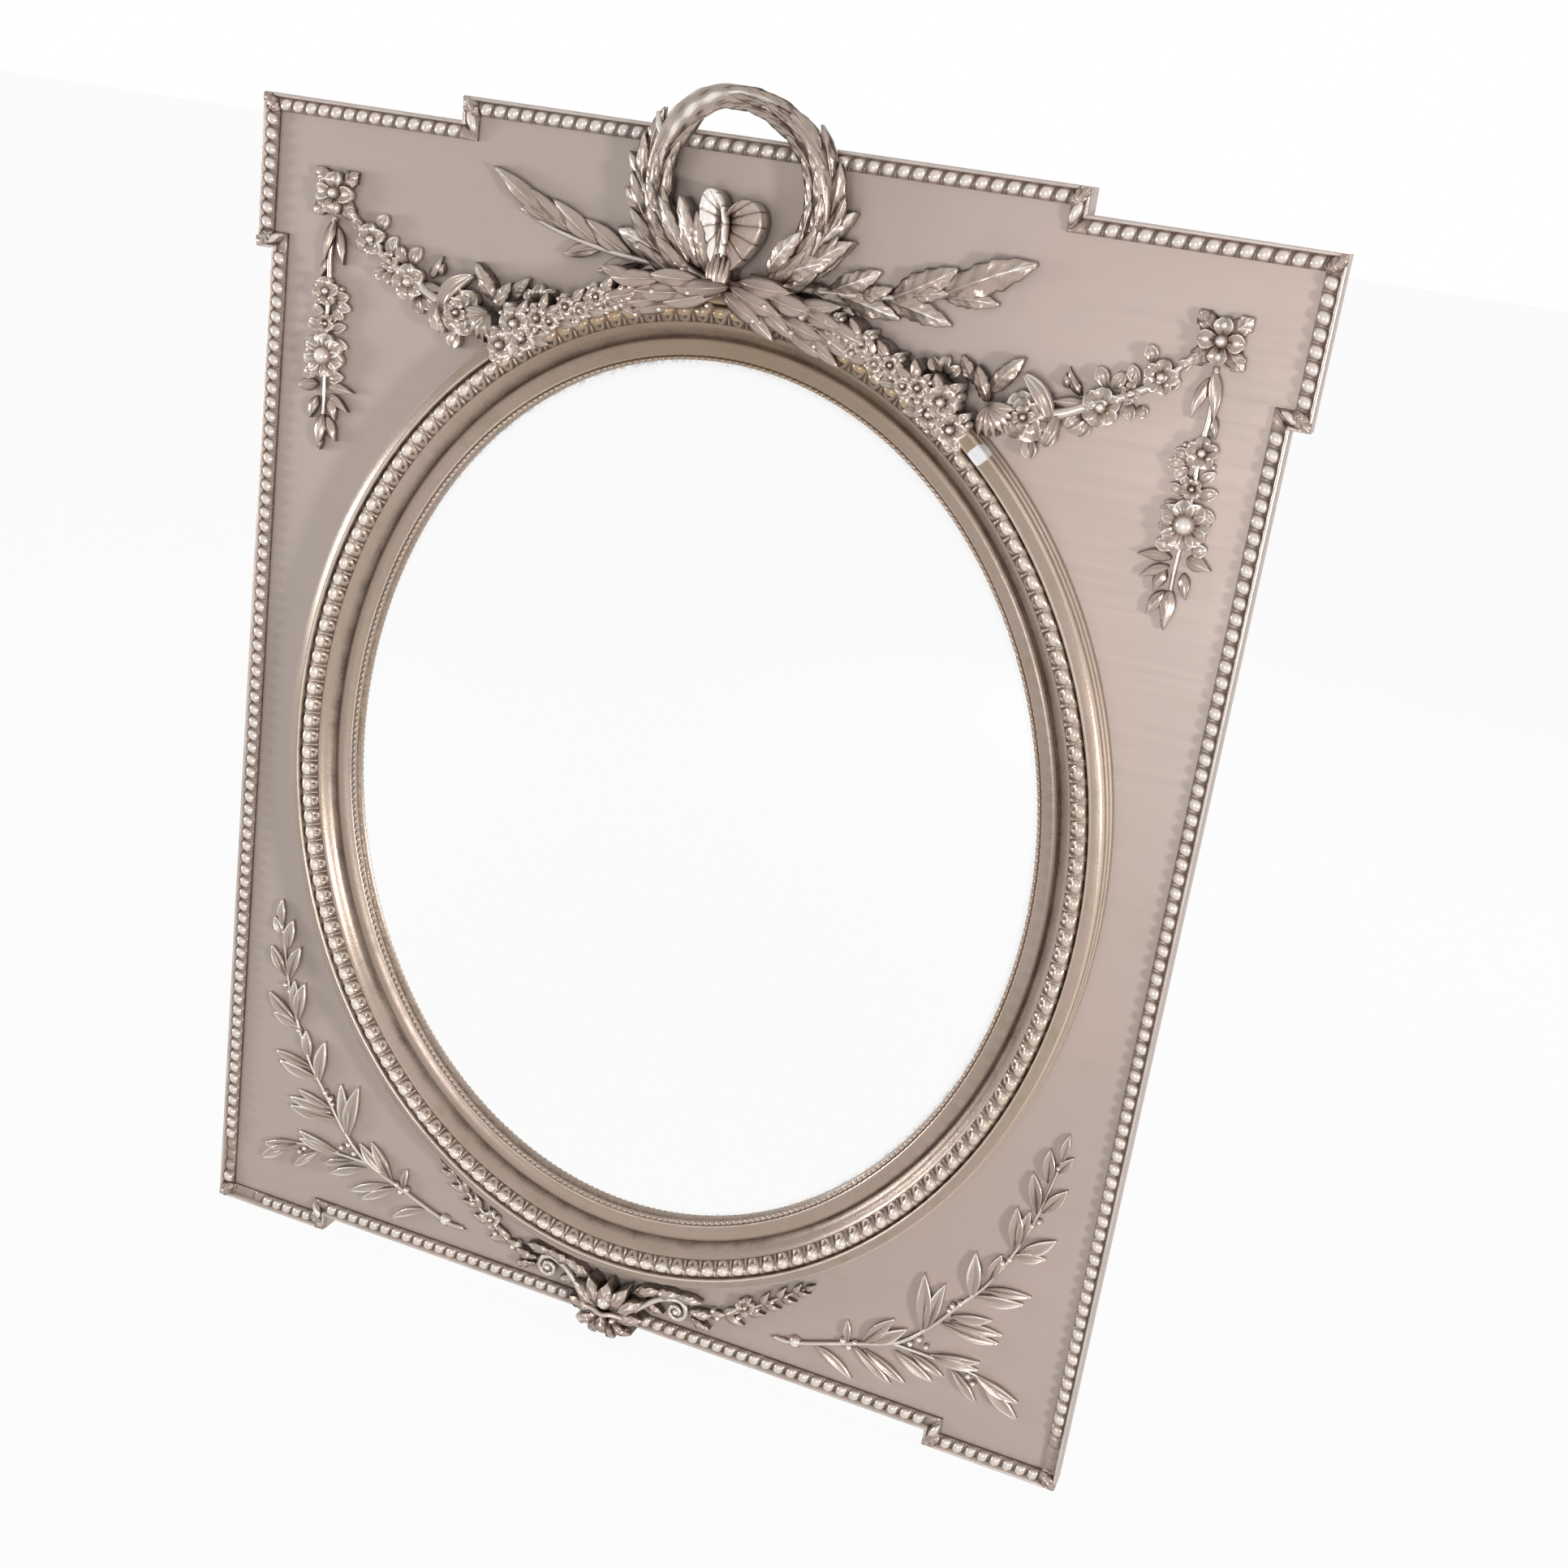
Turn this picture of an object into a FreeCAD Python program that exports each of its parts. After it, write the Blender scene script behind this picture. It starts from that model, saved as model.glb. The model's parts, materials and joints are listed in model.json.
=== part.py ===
import FreeCAD
import Part
import Sketcher
import math
import os

# Wall-hung mirror: a stepped panel with an oval glass, a moulded oval frame, an egg-and-dart
# border and applied carving (wreath, bow, laurel, garlands, drops, olive sprigs, palmette).
#
# Frame: X to the viewer's right, Y into the wall, Z up, in millimetres. The origin is the
# middle of the hanging line, on the wall plane, so the whole mirror lies at Y below zero.
# In the code a place on the front is (x, z, rise): z is counted up from the feet and rise is
# counted towards the viewer from the panel's face.

DOC = FreeCAD.newDocument("trumeau_mirror")
V = FreeCAD.Vector

SIZES = (
    # outline of the panel
    ("side_margin", 59, "from the oval moulding to the panel's side"),
    ("ear_reach", 14, "how far each ear stands out"),
    ("top_block_width", 510, "width of the raised middle of the top"),
    ("recess_width", 612, "width of the raised middle of the bottom"),
    ("crest_margin", 90, "from the oval moulding up to the ears' top"),
    ("ear_drop", 124, "height of the ears"),
    ("top_rise", 19, "step up to the raised middle of the top"),
    ("foot_drop", 15, "step down from the raised middle of the bottom"),
    ("hanging_drop", 62, "from the ears' top down to the hanging line"),
    # boards
    ("panel_thick", 18, "field panel"),
    ("batten_thick", 12, "battens on the back"),
    ("batten_wide", 70, "width of the top batten"),
    ("batten_low_wide", 60, "width of the bottom batten"),
    ("batten_low_base", 28, "height of the bottom batten above the feet"),
    ("batten_inset", 26, "from the panel's side to the battens' ends"),
    # oval frame
    ("sight_half_width", 308, "half width of the visible glass"),
    ("sight_half_height", 375.5, "half height of the visible glass"),
    ("base_margin", 73, "from the feet up to the oval moulding"),
    ("oval_wide", 59, "width of the oval moulding"),
    ("oval_rise", 29, "height of the oval moulding's lip"),
    ("oval_sill", 6, "height of the oval moulding at the sight edge"),
    ("opening_margin", 20, "from the sight edge to the edge of the panel's opening"),
    ("egg_pitch", 14.9, "spacing of the eggs on the oval"),
    ("egg_wide", 11.6, "width of an egg along the oval"),
    ("egg_deep", 12.4, "width of an egg across the moulding"),
    ("egg_rise", 6.4, "height of an egg above its ledge"),
    ("pearl_wide", 3.2, "width of the bead at the sight edge"),
    ("pearl_rise", 2.6, "height of that bead above the sill"),
    # border
    ("border_wide", 14, "width of the border moulding"),
    ("border_rise", 7.6, "height of its eggs"),
    ("border_base", 2.4, "height of its ground between the eggs"),
    ("fillet_wide", 3.4, "width of its plain outer fillet"),
    ("fillet_rise", 6.4, "height of its plain outer fillet"),
    ("bead_pitch", 12, "spacing of the border's eggs"),
    # glass and what holds it
    ("glass_thick", 4, "mirror glass"),
    ("glass_cover", 12, "how far the glass runs behind the moulding"),
    ("board_thick", 6, "backing board"),
    ("board_lap", 16, "how far the backing board laps the panel round its opening"),
    ("block_long", 36, "glazing block, along the edge"),
    ("block_wide", 13, "glazing block, across the edge"),
    ("block_count", 12, "number of glazing blocks"),
    ("seat_gap", 0.3, "clearance between carving and the mouldings under it"),
    ("chip_volume", 25, "chips of carving smaller than this, in cubic mm, are cut off"),
    # hangers and screws
    ("hanger_spacing", 400, "between the two keyhole plates"),
    ("plate_long", 56, "height of a keyhole plate"),
    ("plate_wide", 26, "width of a keyhole plate"),
    ("plate_thick", 2, "thickness of a keyhole plate"),
    ("plate_lift", 4, "from the hanging line up to the plate's middle"),
    ("plate_screw_inset", 7, "from the plate's ends to its screws"),
    ("keyhole_radius", 5, "round entry of the keyhole"),
    ("keyslot_radius", 2.4, "half width of the keyhole's slot"),
    ("keyslot_rise", 11, "from the entry's centre to the slot's end centre"),
    ("pocket_deep", 7, "hollow in the batten behind the keyhole"),
    ("pocket_wide", 18, "width of that hollow"),
    ("screw_radius", 2, "shank of the wood screws"),
    ("screw_head", 4, "head of the wood screws"),
    ("screw_slack", 0.1, "clearance round the screws"),
    ("board_screw", 16, "length of the backing board's screws"),
    ("board_screw_inset", 8, "from the backing board's edge to its screws"),
    ("batten_screw", 24, "length of the battens' screws"),
    ("plate_screw", 14, "length of the keyhole plates' screws"),
    # carving
    ("wreath_drop", 24, "from the ears' top down to the wreath's centre"),
    ("wreath_radius", 70, "radius of the wreath's centre line"),
    ("wreath_thick", 13, "half thickness of the wreath where it is fullest"),
    ("wreath_thin", 7.5, "half thickness of the wreath at its top"),
    ("wreath_front", 26, "rise of the wreath's middle at its top"),
    ("wreath_lean", 14, "how much further back the wreath's middle is at its bottom"),
    ("knot_lift", 5, "from the oval moulding up to the bow's knot"),
    ("bow_loop", 26, "width of one loop of the bow"),
    ("bow_tall", 66, "height of the bow above its knot"),
    ("rosette_across", 38, "side of the square corner rosettes"),
    ("rosette_inset", 60, "corner rosettes, in from the panel's side"),
    ("rosette_drop", 71, "corner rosettes, below the ears' top"),
    ("drop_tall", 189.7, "height of the flower drops"),
    ("laurel_reach", 226, "half the spread of the laurel branches"),
    ("laurel_leaf", 44, "length of a laurel leaf"),
    ("olive_leaf", 42, "length of an olive leaf"),
    ("palmette_height", 40, "height of the base palmette's heart above the feet"),
    ("palmette_reach", 38, "half width of the base palmette"),
    ("scroll_x", 76, "centre of the base scrolls, from the middle"),
    ("husk_reach", 184, "outer end of the husk chains, from the middle"),
)

FOLLOWING = (
    # what follows from the sizes above
    ("main_width", "2 * (sight_half_width + oval_wide + side_margin)", "width below the ears"),
    ("oval_height", "base_margin + oval_wide + sight_half_height", "oval's centre above the feet"),
    ("oval_top", "oval_height + sight_half_height + oval_wide", "top of the moulding above the feet"),
    ("ear_top", "oval_top + crest_margin", "ears' top above the feet"),
    ("ear_underside", "ear_top - ear_drop", "ears' underside above the feet"),
    ("hanging_line", "ear_top - hanging_drop", "hanging line above the feet"),
    ("board_reach", "opening_margin + board_lap", "backing board past the sight edge"),
    ("stile_wide", "oval_wide + side_margin - board_reach - batten_inset", "width of the side battens"),
    ("wreath_height", "ear_top - wreath_drop", "wreath's centre above the feet"),
    ("knot_height", "oval_top + knot_lift", "bow's knot above the feet"),
    ("rosette_height", "ear_top - rosette_drop", "corner rosettes above the feet"),
)


def make_sheet():
    """The table of sizes, one named cell each, and of what follows from them."""
    sheet = DOC.addObject("Spreadsheet::Sheet", "sizes")
    rows = list(SIZES) + [(name, f"={words}", note) for name, words, note in FOLLOWING]
    for row, (name, value, note) in enumerate(rows, start=1):
        sheet.set(f"A{row}", note)
        sheet.set(f"B{row}", str(value))
        sheet.setAlias(f"B{row}", name)
    DOC.recompute()
    return sheet


SHEET = make_sheet()
NODES = []


def size(name):
    """The value of one named cell."""
    return float(getattr(SHEET, name))


def panel_face():
    """Distance of the panel's face from the wall."""
    return size("batten_thick") + size("panel_thick")


def at(x, z, rise):
    """The point over the front at x, z above the feet and rise above the panel's face."""
    return V(x, -panel_face() - rise, z - size("hanging_line"))


def keep(item, label):
    """Give an object its name as a piece of the mirror."""
    item.Label = label
    NODES.append(item)
    return item


def keep_shape(shape, label):
    """Keep a shape that Part's functions made as a piece of the mirror."""
    item = DOC.addObject("Part::Feature", label)
    item.Shape = shape
    item.Placement = FreeCAD.Placement()
    return keep(item, label)


def bind(item, **words):
    """Bind properties of an object to the sheet: a double underscore stands for a dot."""
    for name, expression in words.items():
        item.setExpression(name.replace("__", "."), expression)
    return item


# ---------------------------------------------------------------- solids with flat faces


def flat(points):
    """Is this polygon flat, within a hundredth of a millimetre?"""
    if len(points) < 4:
        return True
    normal = (points[1] - points[0]).cross(points[2] - points[0])
    if normal.Length < 1e-9:
        return False
    normal.normalize()
    return all(abs((p - points[0]).dot(normal)) < 1e-4 for p in points[3:])


def facets(points):
    """The faces of a quad whose corners may coincide: one if it is flat, else two triangles."""
    corners = []
    for point in points:
        if not any((point - other).Length < 1e-6 for other in corners):
            corners.append(point)
    if len(corners) < 3:
        return []
    loops = [corners] if flat(corners) else [corners[:3], [corners[0]] + corners[2:]]
    return [Part.Face(Part.makePolygon(loop + [loop[0]])) for loop in loops]


def skin(sections, closed=False):
    """The solid through a row of sections with equal numbers of corners."""
    faces = []
    count = len(sections[0])
    pairs = list(zip(sections, sections[1:]))
    if closed:
        pairs.append((sections[-1], sections[0]))
    for one, other in pairs:
        for i in range(count):
            j = (i + 1) % count
            faces += facets([one[i], one[j], other[j], other[i]])
    if not closed:
        for end in (sections[0], sections[-1]):
            faces += cap(end)
    return solid_of(faces)


def solid_of(faces):
    """The solid that these faces close, with its faces outwards."""
    solid = Part.makeSolid(Part.makeShell(faces))
    if solid.Volume < 0:
        solid.reverse()
    return solid


def cap(section):
    """The face that closes an end, or nothing where the end is a point or an edge."""
    corners = []
    for point in section:
        if not any((point - other).Length < 1e-6 for other in corners):
            corners.append(point)
    if len(corners) < 3:
        return []
    return [Part.Face(Part.makePolygon(corners + [corners[0]]))]


def seated(pieces, keep_outs=()):
    """Pieces made one, flush with the panel's face and clear of what lies under them."""
    whole = pieces[0].multiFuse(pieces[1:]) if len(pieces) > 1 else pieces[0]
    span = 3 * size("main_width")
    air = Part.makeBox(span, span, span, at(-span / 2, -span / 3, span))
    whole = whole.common(air)
    for solid in keep_outs:
        whole = whole.cut(solid)
    return Part.makeCompound([s for s in whole.Solids if s.Volume > size("chip_volume")])


def shapes_of(*labels):
    """The shapes of pieces that are already made."""
    return [item.Shape for item in NODES if item.Label in labels]


def mirrored(shape):
    """The same shape on the other side of the mirror's middle."""
    return shape.mirror(V(0, 0, 0), V(1, 0, 0))


# ---------------------------------------------------------------- outline and border


def outline_corners():
    """The panel's corners: (x, z, words for x, words for z), anticlockwise from the lower right."""
    right = (
        ("recess_width", "foot_drop"),
        ("recess_width", ""),
        ("main_width", ""),
        ("main_width", "ear_underside"),
        ("main_width ear_reach", "ear_underside"),
        ("main_width ear_reach", "ear_top"),
        ("top_block_width", "ear_top"),
        ("top_block_width", "ear_top top_rise"),
    )
    corners = []
    for side, order in ((1, right), (-1, tuple(reversed(right)))):
        for widths, heights in order:
            width, *reach = widths.split()
            names = heights.split()
            x = side * (size(width) / 2 + sum(size(name) for name in reach))
            z = sum(size(name) for name in names)
            outward = "".join(f" + sizes.{name}" for name in reach)
            x_words = f"{side} * (sizes.{width} / 2{outward})"
            z_words = " + ".join(f"sizes.{name}" for name in names) or "0"
            corners.append((x, z, x_words, z_words))
    return corners


RUN_NAMES = (
    "border_foot_step_right",
    "border_foot_right",
    "border_side_right",
    "border_ear_return_right",
    "border_ear_side_right",
    "border_ear_top_right",
    "border_top_step_right",
    "border_top_centre",
    "border_top_step_left",
    "border_ear_top_left",
    "border_ear_side_left",
    "border_ear_return_left",
    "border_side_left",
    "border_foot_left",
    "border_foot_step_left",
    "border_bottom_centre",
)


EGG_FIRST, EGG_LAST = 4, 5  # the corners of the border's section that an egg moves


def border_section(fullness):
    """Section of the border as (in from the edge, rise): fullness 0 is a dart, 1 an egg."""
    wide = size("border_wide")
    fillet = size("fillet_wide")
    ground = size("border_base")
    swell = 0.4 + 0.6 * fullness
    crown = (size("border_rise") - ground) * swell
    slope = (wide - fillet) * swell
    return (
        (0, 0),
        (0, size("fillet_rise")),
        (fillet * 0.8, size("fillet_rise")),
        (fillet, ground),
        (fillet + 0.2 * slope, ground + crown),
        (wide - 0.3 * slope, ground + crown),
        (wide, ground),
        (wide, 0),
    )


def moulding(sections):
    """A border length: plain faces run from end to end, the eggs' faces from section to section."""
    first, last = sections[0], sections[-1]
    faces = cap(first) + cap(last)
    count = len(first)
    for i in range(count):
        j = (i + 1) % count
        if EGG_FIRST <= i < EGG_LAST:
            for one, other in zip(sections, sections[1:]):
                faces += facets([one[i], one[j], other[j], other[i]])
        elif j == EGG_FIRST or i == EGG_LAST:
            waved, plain = (j, i) if j == EGG_FIRST else (i, j)
            rim = [first[plain], last[plain]] + [ring[waved] for ring in reversed(sections)]
            faces.append(Part.Face(Part.makePolygon(rim + [rim[0]])))
        else:
            faces += facets([first[i], first[j], last[j], last[i]])
    return solid_of(faces)


def border_run(start, end, before, after):
    """One mitred length of the border between two corners of the outline."""
    run = V(end[0] - start[0], 0, end[1] - start[1])
    length = run.Length
    run.normalize()
    inward = V(-run.z, 0, run.x)
    origin = at(start[0], start[1], 0)
    wide = size("border_wide")

    def section(along, fullness, slant=0):
        points = []
        for inset, rise in border_section(fullness):
            place = run * (along + slant * inset) + inward * inset
            points.append(origin + place - V(0, rise, 0))
        return points

    # an outward corner shortens the run's inner edge and an inward corner lengthens it;
    # a short return between two unlike corners keeps one slant all the way
    short = length < 2 * wide
    lean = before if short else 0
    first = wide + 1 if before > 0 and not short else 1
    last = length - wide - 1 if after > 0 and not short else length - 1
    sections = [section(0, 1, before), section(first, 1, lean)]
    count = max(int(round((last - first) / size("bead_pitch"))), 1)
    pitch = (last - first) / count
    for number in range(count):
        base = first + number * pitch
        sections.append(section(base + 0.08 * pitch, 0, lean))
        sections.append(section(base + 0.32 * pitch, 1, lean))
        sections.append(section(base + 0.76 * pitch, 1, lean))
    sections.append(section(last, 0, lean))
    sections.append(section(length, 0, -after))
    return moulding(sections)


def make_border():
    """The sixteen lengths of the border."""
    corners = outline_corners()
    count = len(corners)
    turns = []
    for i in range(count):
        here = corners[i]
        back = corners[i - 1]
        ahead = corners[(i + 1) % count]
        turn = (here[0] - back[0]) * (ahead[1] - here[1])
        turn -= (here[1] - back[1]) * (ahead[0] - here[0])
        turns.append(1 if turn > 0 else -1)
    for i, name in enumerate(RUN_NAMES):
        j = (i + 1) % count
        keep_shape(border_run(corners[i], corners[j], turns[i], turns[j]), name)


# ---------------------------------------------------------------- oval frame


def ellipse(offset, rise):
    """The oval's outline moved out from the sight edge by offset, at this rise."""
    centre = at(0, size("oval_height"), rise)
    top = V(0, 0, size("sight_half_height") + offset)
    side = V(size("sight_half_width") + offset, 0, 0)
    return Part.Ellipse(centre + top, centre + side, centre).toShape()


def oval_ring(profile):
    """The ring whose section is this closed row of (offset, rise) corners."""
    faces = []
    edges = [ellipse(offset, rise) for offset, rise in profile]
    count = len(profile)
    for i in range(count):
        j = (i + 1) % count
        if abs(profile[i][1] - profile[j][1]) < 1e-6:
            outer, inner = (i, j) if profile[i][0] > profile[j][0] else (j, i)
            ring = Part.Face(Part.Wire(edges[outer]))
            faces.append(ring.cut(Part.Face(Part.Wire(edges[inner]))).Faces[0])
        else:
            faces.append(Part.makeRuledSurface(edges[i], edges[j]))
    shell = Part.makeShell(faces)
    shell.sewShape()
    solid = Part.makeSolid(shell)
    if solid.Volume < 0:
        solid.reverse()
    return solid


def egg_ledge():
    """Offset of the eggs' middle line and rise of the ledge that carries them."""
    return size("oval_wide") * 0.63, size("oval_rise") - size("egg_rise") - 0.6


def make_oval_frame():
    """The moulded oval: cyma, scotia, ledge for the eggs, flat lip and sloped outside."""
    wide = size("oval_wide")
    lip = size("oval_rise")
    sill = size("oval_sill")
    middle, ledge = egg_ledge()
    half = size("egg_deep") / 2 + 0.6
    profile = (
        (0, 0),
        (0, sill),
        (size("pearl_wide"), sill),
        (wide * 0.2, sill + 3.4),
        (wide * 0.31, sill + 3.8),
        (wide * 0.37, sill + 1.2),
        (wide * 0.45, sill + 4.8),
        (middle - half, ledge),
        (middle + half, ledge),
        (middle + half + 1, lip),
        (wide * 0.89, lip),
        (wide * 0.94, lip * 0.6),
        (wide, 0),
    )
    keep_shape(oval_ring(profile), "oval_frame")


def make_pearl_ring():
    """The bead that runs round the sight edge, against the foot of the cyma."""
    wide = size("pearl_wide")
    sill = size("oval_sill")
    profile = ((0.2, sill), (wide / 2, sill + size("pearl_rise")), (wide - 0.2, sill))
    keep_shape(oval_ring(profile), "sight_bead")


def oval_perimeter(offset):
    """Length of the oval at an offset, by Ramanujan's rule."""
    a = size("sight_half_width") + offset
    b = size("sight_half_height") + offset
    h = ((a - b) / (a + b)) ** 2
    return math.pi * (a + b) * (1 + 3 * h / (10 + math.sqrt(4 - 3 * h)))


def oval_stations(offset, count, samples=4000):
    """Evenly spaced places on the oval: (x, z, outward angle)."""
    a = size("sight_half_width") + offset
    b = size("sight_half_height") + offset
    step = oval_perimeter(offset) / count
    places = []
    walked = 0.0
    wanted = 0.5 * step
    last = (a, 0.0)
    for i in range(1, samples + 1):
        t = 2 * math.pi * i / samples
        point = (a * math.cos(t), b * math.sin(t))
        walked += math.hypot(point[0] - last[0], point[1] - last[1])
        if walked >= wanted and len(places) < count:
            out = math.atan2(point[1] * a * a, point[0] * b * b)
            places.append((point[0], point[1] + size("oval_height"), out))
            wanted += step
        last = point
    return places


EGG_OUTLINE = ((1, -0.7), (1, 0.7), (-0.1, 1), (-1, 0), (-0.1, -1))  # (across, along), halves


def egg(x, z, out):
    """One egg of the oval's course: a shield with its point inwards, closing in to its crown."""
    ledge = egg_ledge()[1]
    sections = []
    for share, up in ((1.0, 0), (0.55, 1.0)):
        ring = []
        for outward, sideways in EGG_OUTLINE:
            across = share * outward * size("egg_deep") / 2
            along = share * sideways * size("egg_wide") / 2
            px = x + across * math.cos(out) - along * math.sin(out)
            pz = z + across * math.sin(out) + along * math.cos(out)
            ring.append(at(px, pz, ledge + up * size("egg_rise")))
        sections.append(ring)
    return skin(sections)


def make_oval_eggs():
    """The egg course of the oval, cast as single eggs in its ledge."""
    middle = egg_ledge()[0]
    count = int(round(oval_perimeter(middle) / size("egg_pitch")))
    eggs = [egg(x, z, out) for x, z, out in oval_stations(middle, count)]
    keep_shape(Part.makeCompound(eggs), "oval_egg_course")


# ---------------------------------------------------------------- boards, glass and screws


def ellipse_plate(name, margin, front, thick):
    """An oval plate, bound to the sheet: margin past the sight edge, its front and thickness."""
    rim = DOC.addObject("Part::Ellipse", name + "_rim")
    bind(rim, MajorRadius=f"sizes.sight_half_height + {margin}")
    bind(rim, MinorRadius=f"sizes.sight_half_width + {margin}")
    rim.Placement = FreeCAD.Placement(V(0, 0, 0), FreeCAD.Rotation(V(0, 0, 1), V(1, 0, 0), V(0, 1, 0)))
    bind(rim, Placement__Base__y=f"-({front})")
    bind(rim, Placement__Base__z="sizes.oval_height - sizes.hanging_line")
    plate = DOC.addObject("Part::Extrusion", name)
    plate.Base = rim
    plate.DirMode = "Custom"
    plate.Dir = V(0, 1, 0)
    bind(plate, LengthFwd=thick)
    plate.Solid = True
    return plate


def board(name, low, long, wide, front, thick, centre="0"):
    """A flat board, bound to the sheet: its low edge, width, height, front and thickness."""
    item = DOC.addObject("Part::Box", name)
    bind(item, Length=long, Width=thick, Height=wide)
    bind(item, Placement__Base__x=f"{centre} - ({long}) / 2")
    bind(item, Placement__Base__y=f"-({front})")
    bind(item, Placement__Base__z=f"({low}) - sizes.hanging_line")
    return item


def cut(base, tools, label):
    """A piece with its openings and holes cut."""
    for tool in tools:
        result = DOC.addObject("Part::Cut", f"{label}_cut")
        result.Base = base
        result.Tool = tool
        base = result
    return keep(base, label)


def screw_solid(x, z, back, length, slack=0.0):
    """A countersunk wood screw driven from the back, its head flush at back, as eight flats."""
    radius = size("screw_radius") + slack
    head = size("screw_head") + slack
    taper = head - radius
    profile = [(head, 0), (radius, -taper), (radius, -length + radius), (radius / 8, -length - slack)]
    if slack > 0:
        profile.insert(0, (head, slack))
    rings = []
    for reach, depth in profile:
        ring = []
        for k in range(8):
            angle = math.pi * (k + 0.5) / 4
            place = V(x + reach * math.cos(angle), depth - back, z + reach * math.sin(angle))
            ring.append(place - V(0, 0, size("hanging_line")))
        rings.append(ring)
    return skin(rings)


def screw_holes(places, back, length, name):
    """The clearance holes for a group of screws, as one cutting tool."""
    slack = size("screw_slack")
    tool = DOC.addObject("Part::Feature", name)
    tool.Shape = Part.makeCompound([screw_solid(x, z, back, length, slack) for x, z in places])
    return tool


def board_half():
    """Half width and half height of the backing board."""
    reach = size("board_reach")
    return size("sight_half_width") + reach, size("sight_half_height") + reach


def board_screw_places():
    """Screws at the backing board's corners and half-way along its sides, over the panel's wood."""
    half_w, half_h = board_half()
    inset = size("board_screw_inset")
    places = []
    for sx in (-1, 0, 1):
        for sz in (-1, 0, 1):
            if sx or sz:
                places.append((sx * (half_w - inset), size("oval_height") + sz * (half_h - inset)))
    return places


def top_batten_middle():
    """Height of the top batten's middle above the feet."""
    return size("hanging_line")


def low_batten_top():
    """Height of the bottom batten's top edge above the feet."""
    return size("batten_low_base") + size("batten_low_wide")


def stile_x():
    """Distance of the side battens' middle from the mirror's middle."""
    return size("main_width") / 2 - size("batten_inset") - size("stile_wide") / 2


def batten_screw_places():
    """Screws through the four battens into the panel, none near the keyhole plates."""
    places = []
    low = size("batten_low_base") + size("batten_low_wide") / 2
    for side in (-1, 1):
        places.append((side * stile_x(), top_batten_middle()))
        places.append((side * size("hanger_spacing") * 0.25, top_batten_middle()))
        places.append((side * stile_x(), low))
        places.append((side * stile_x() * 0.35, low))
        for share in (0.15, 0.85):
            foot = low_batten_top()
            head = top_batten_middle() - size("batten_wide") / 2
            places.append((side * stile_x(), foot + share * (head - foot)))
    return places


def plate_screw_places(side):
    """The two screws of one keyhole plate, above and below the keyhole."""
    x = side * size("hanger_spacing") / 2
    reach = size("plate_long") / 2 - size("plate_screw_inset")
    middle = size("hanging_line") + size("plate_lift")
    return [(x, middle + reach), (x, middle - reach)]


def keyhole_solid(side, radius, slot, deep, name):
    """A keyhole-shaped plug: its round entry and the slot above it, deep from the wall plane."""
    x = side * size("hanger_spacing") / 2
    rise = size("keyslot_rise")
    entry = Part.makeCylinder(radius, deep, V(x, 0, 0), V(0, -1, 0))
    end = Part.makeCylinder(slot, deep, V(x, 0, rise), V(0, -1, 0))
    web = Part.makeBox(2 * slot, deep, rise, V(x - slot, -deep, 0))
    tool = DOC.addObject("Part::Feature", name)
    tool.Shape = entry.multiFuse([end, web])
    return tool


def make_hangers():
    """The two steel keyhole plates, let in flush with the back of the top batten."""
    for side, name in ((-1, "left"), (1, "right")):
        label = f"hanger_plate_{name}"
        plate = board(
            label + "_blank",
            "sizes.hanging_line + sizes.plate_lift - sizes.plate_long / 2",
            "sizes.plate_wide",
            "sizes.plate_long",
            "sizes.plate_thick",
            "sizes.plate_thick",
            f"{side} * sizes.hanger_spacing / 2",
        )
        thick = size("plate_thick")
        keyhole = keyhole_solid(side, size("keyhole_radius"), size("keyslot_radius"), thick, label + "_key")
        holes = screw_holes(plate_screw_places(side), 0, size("plate_screw"), label + "_holes")
        cut(plate, [keyhole, holes], label)
        screws = [screw_solid(x, z, 0, size("plate_screw")) for x, z in plate_screw_places(side)]
        keep_shape(Part.makeCompound(screws), f"hanger_screws_{name}")


def hanger_recesses():
    """What is cut from the top batten for the plates: their beds and the hollows behind."""
    tools = []
    slack = size("screw_slack")
    wide = size("plate_wide") + 2 * slack
    tall = size("plate_long") + 2 * slack
    hollow = size("pocket_wide")
    deep = size("pocket_deep") + size("plate_thick")
    rise = size("keyslot_rise")
    for side in (-1, 1):
        x = side * size("hanger_spacing") / 2
        corner = V(x - wide / 2, -size("plate_thick"), size("plate_lift") - tall / 2)
        bed = Part.makeBox(wide, size("plate_thick"), tall, corner)
        low = V(x - hollow / 2, -deep, -hollow / 2)
        pocket = Part.makeBox(hollow, deep, rise + hollow * 0.8, low)
        tools += [bed, pocket]
    item = DOC.addObject("Part::Feature", "hanger_recesses")
    item.Shape = tools[0].multiFuse(tools[1:])
    return item


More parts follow.
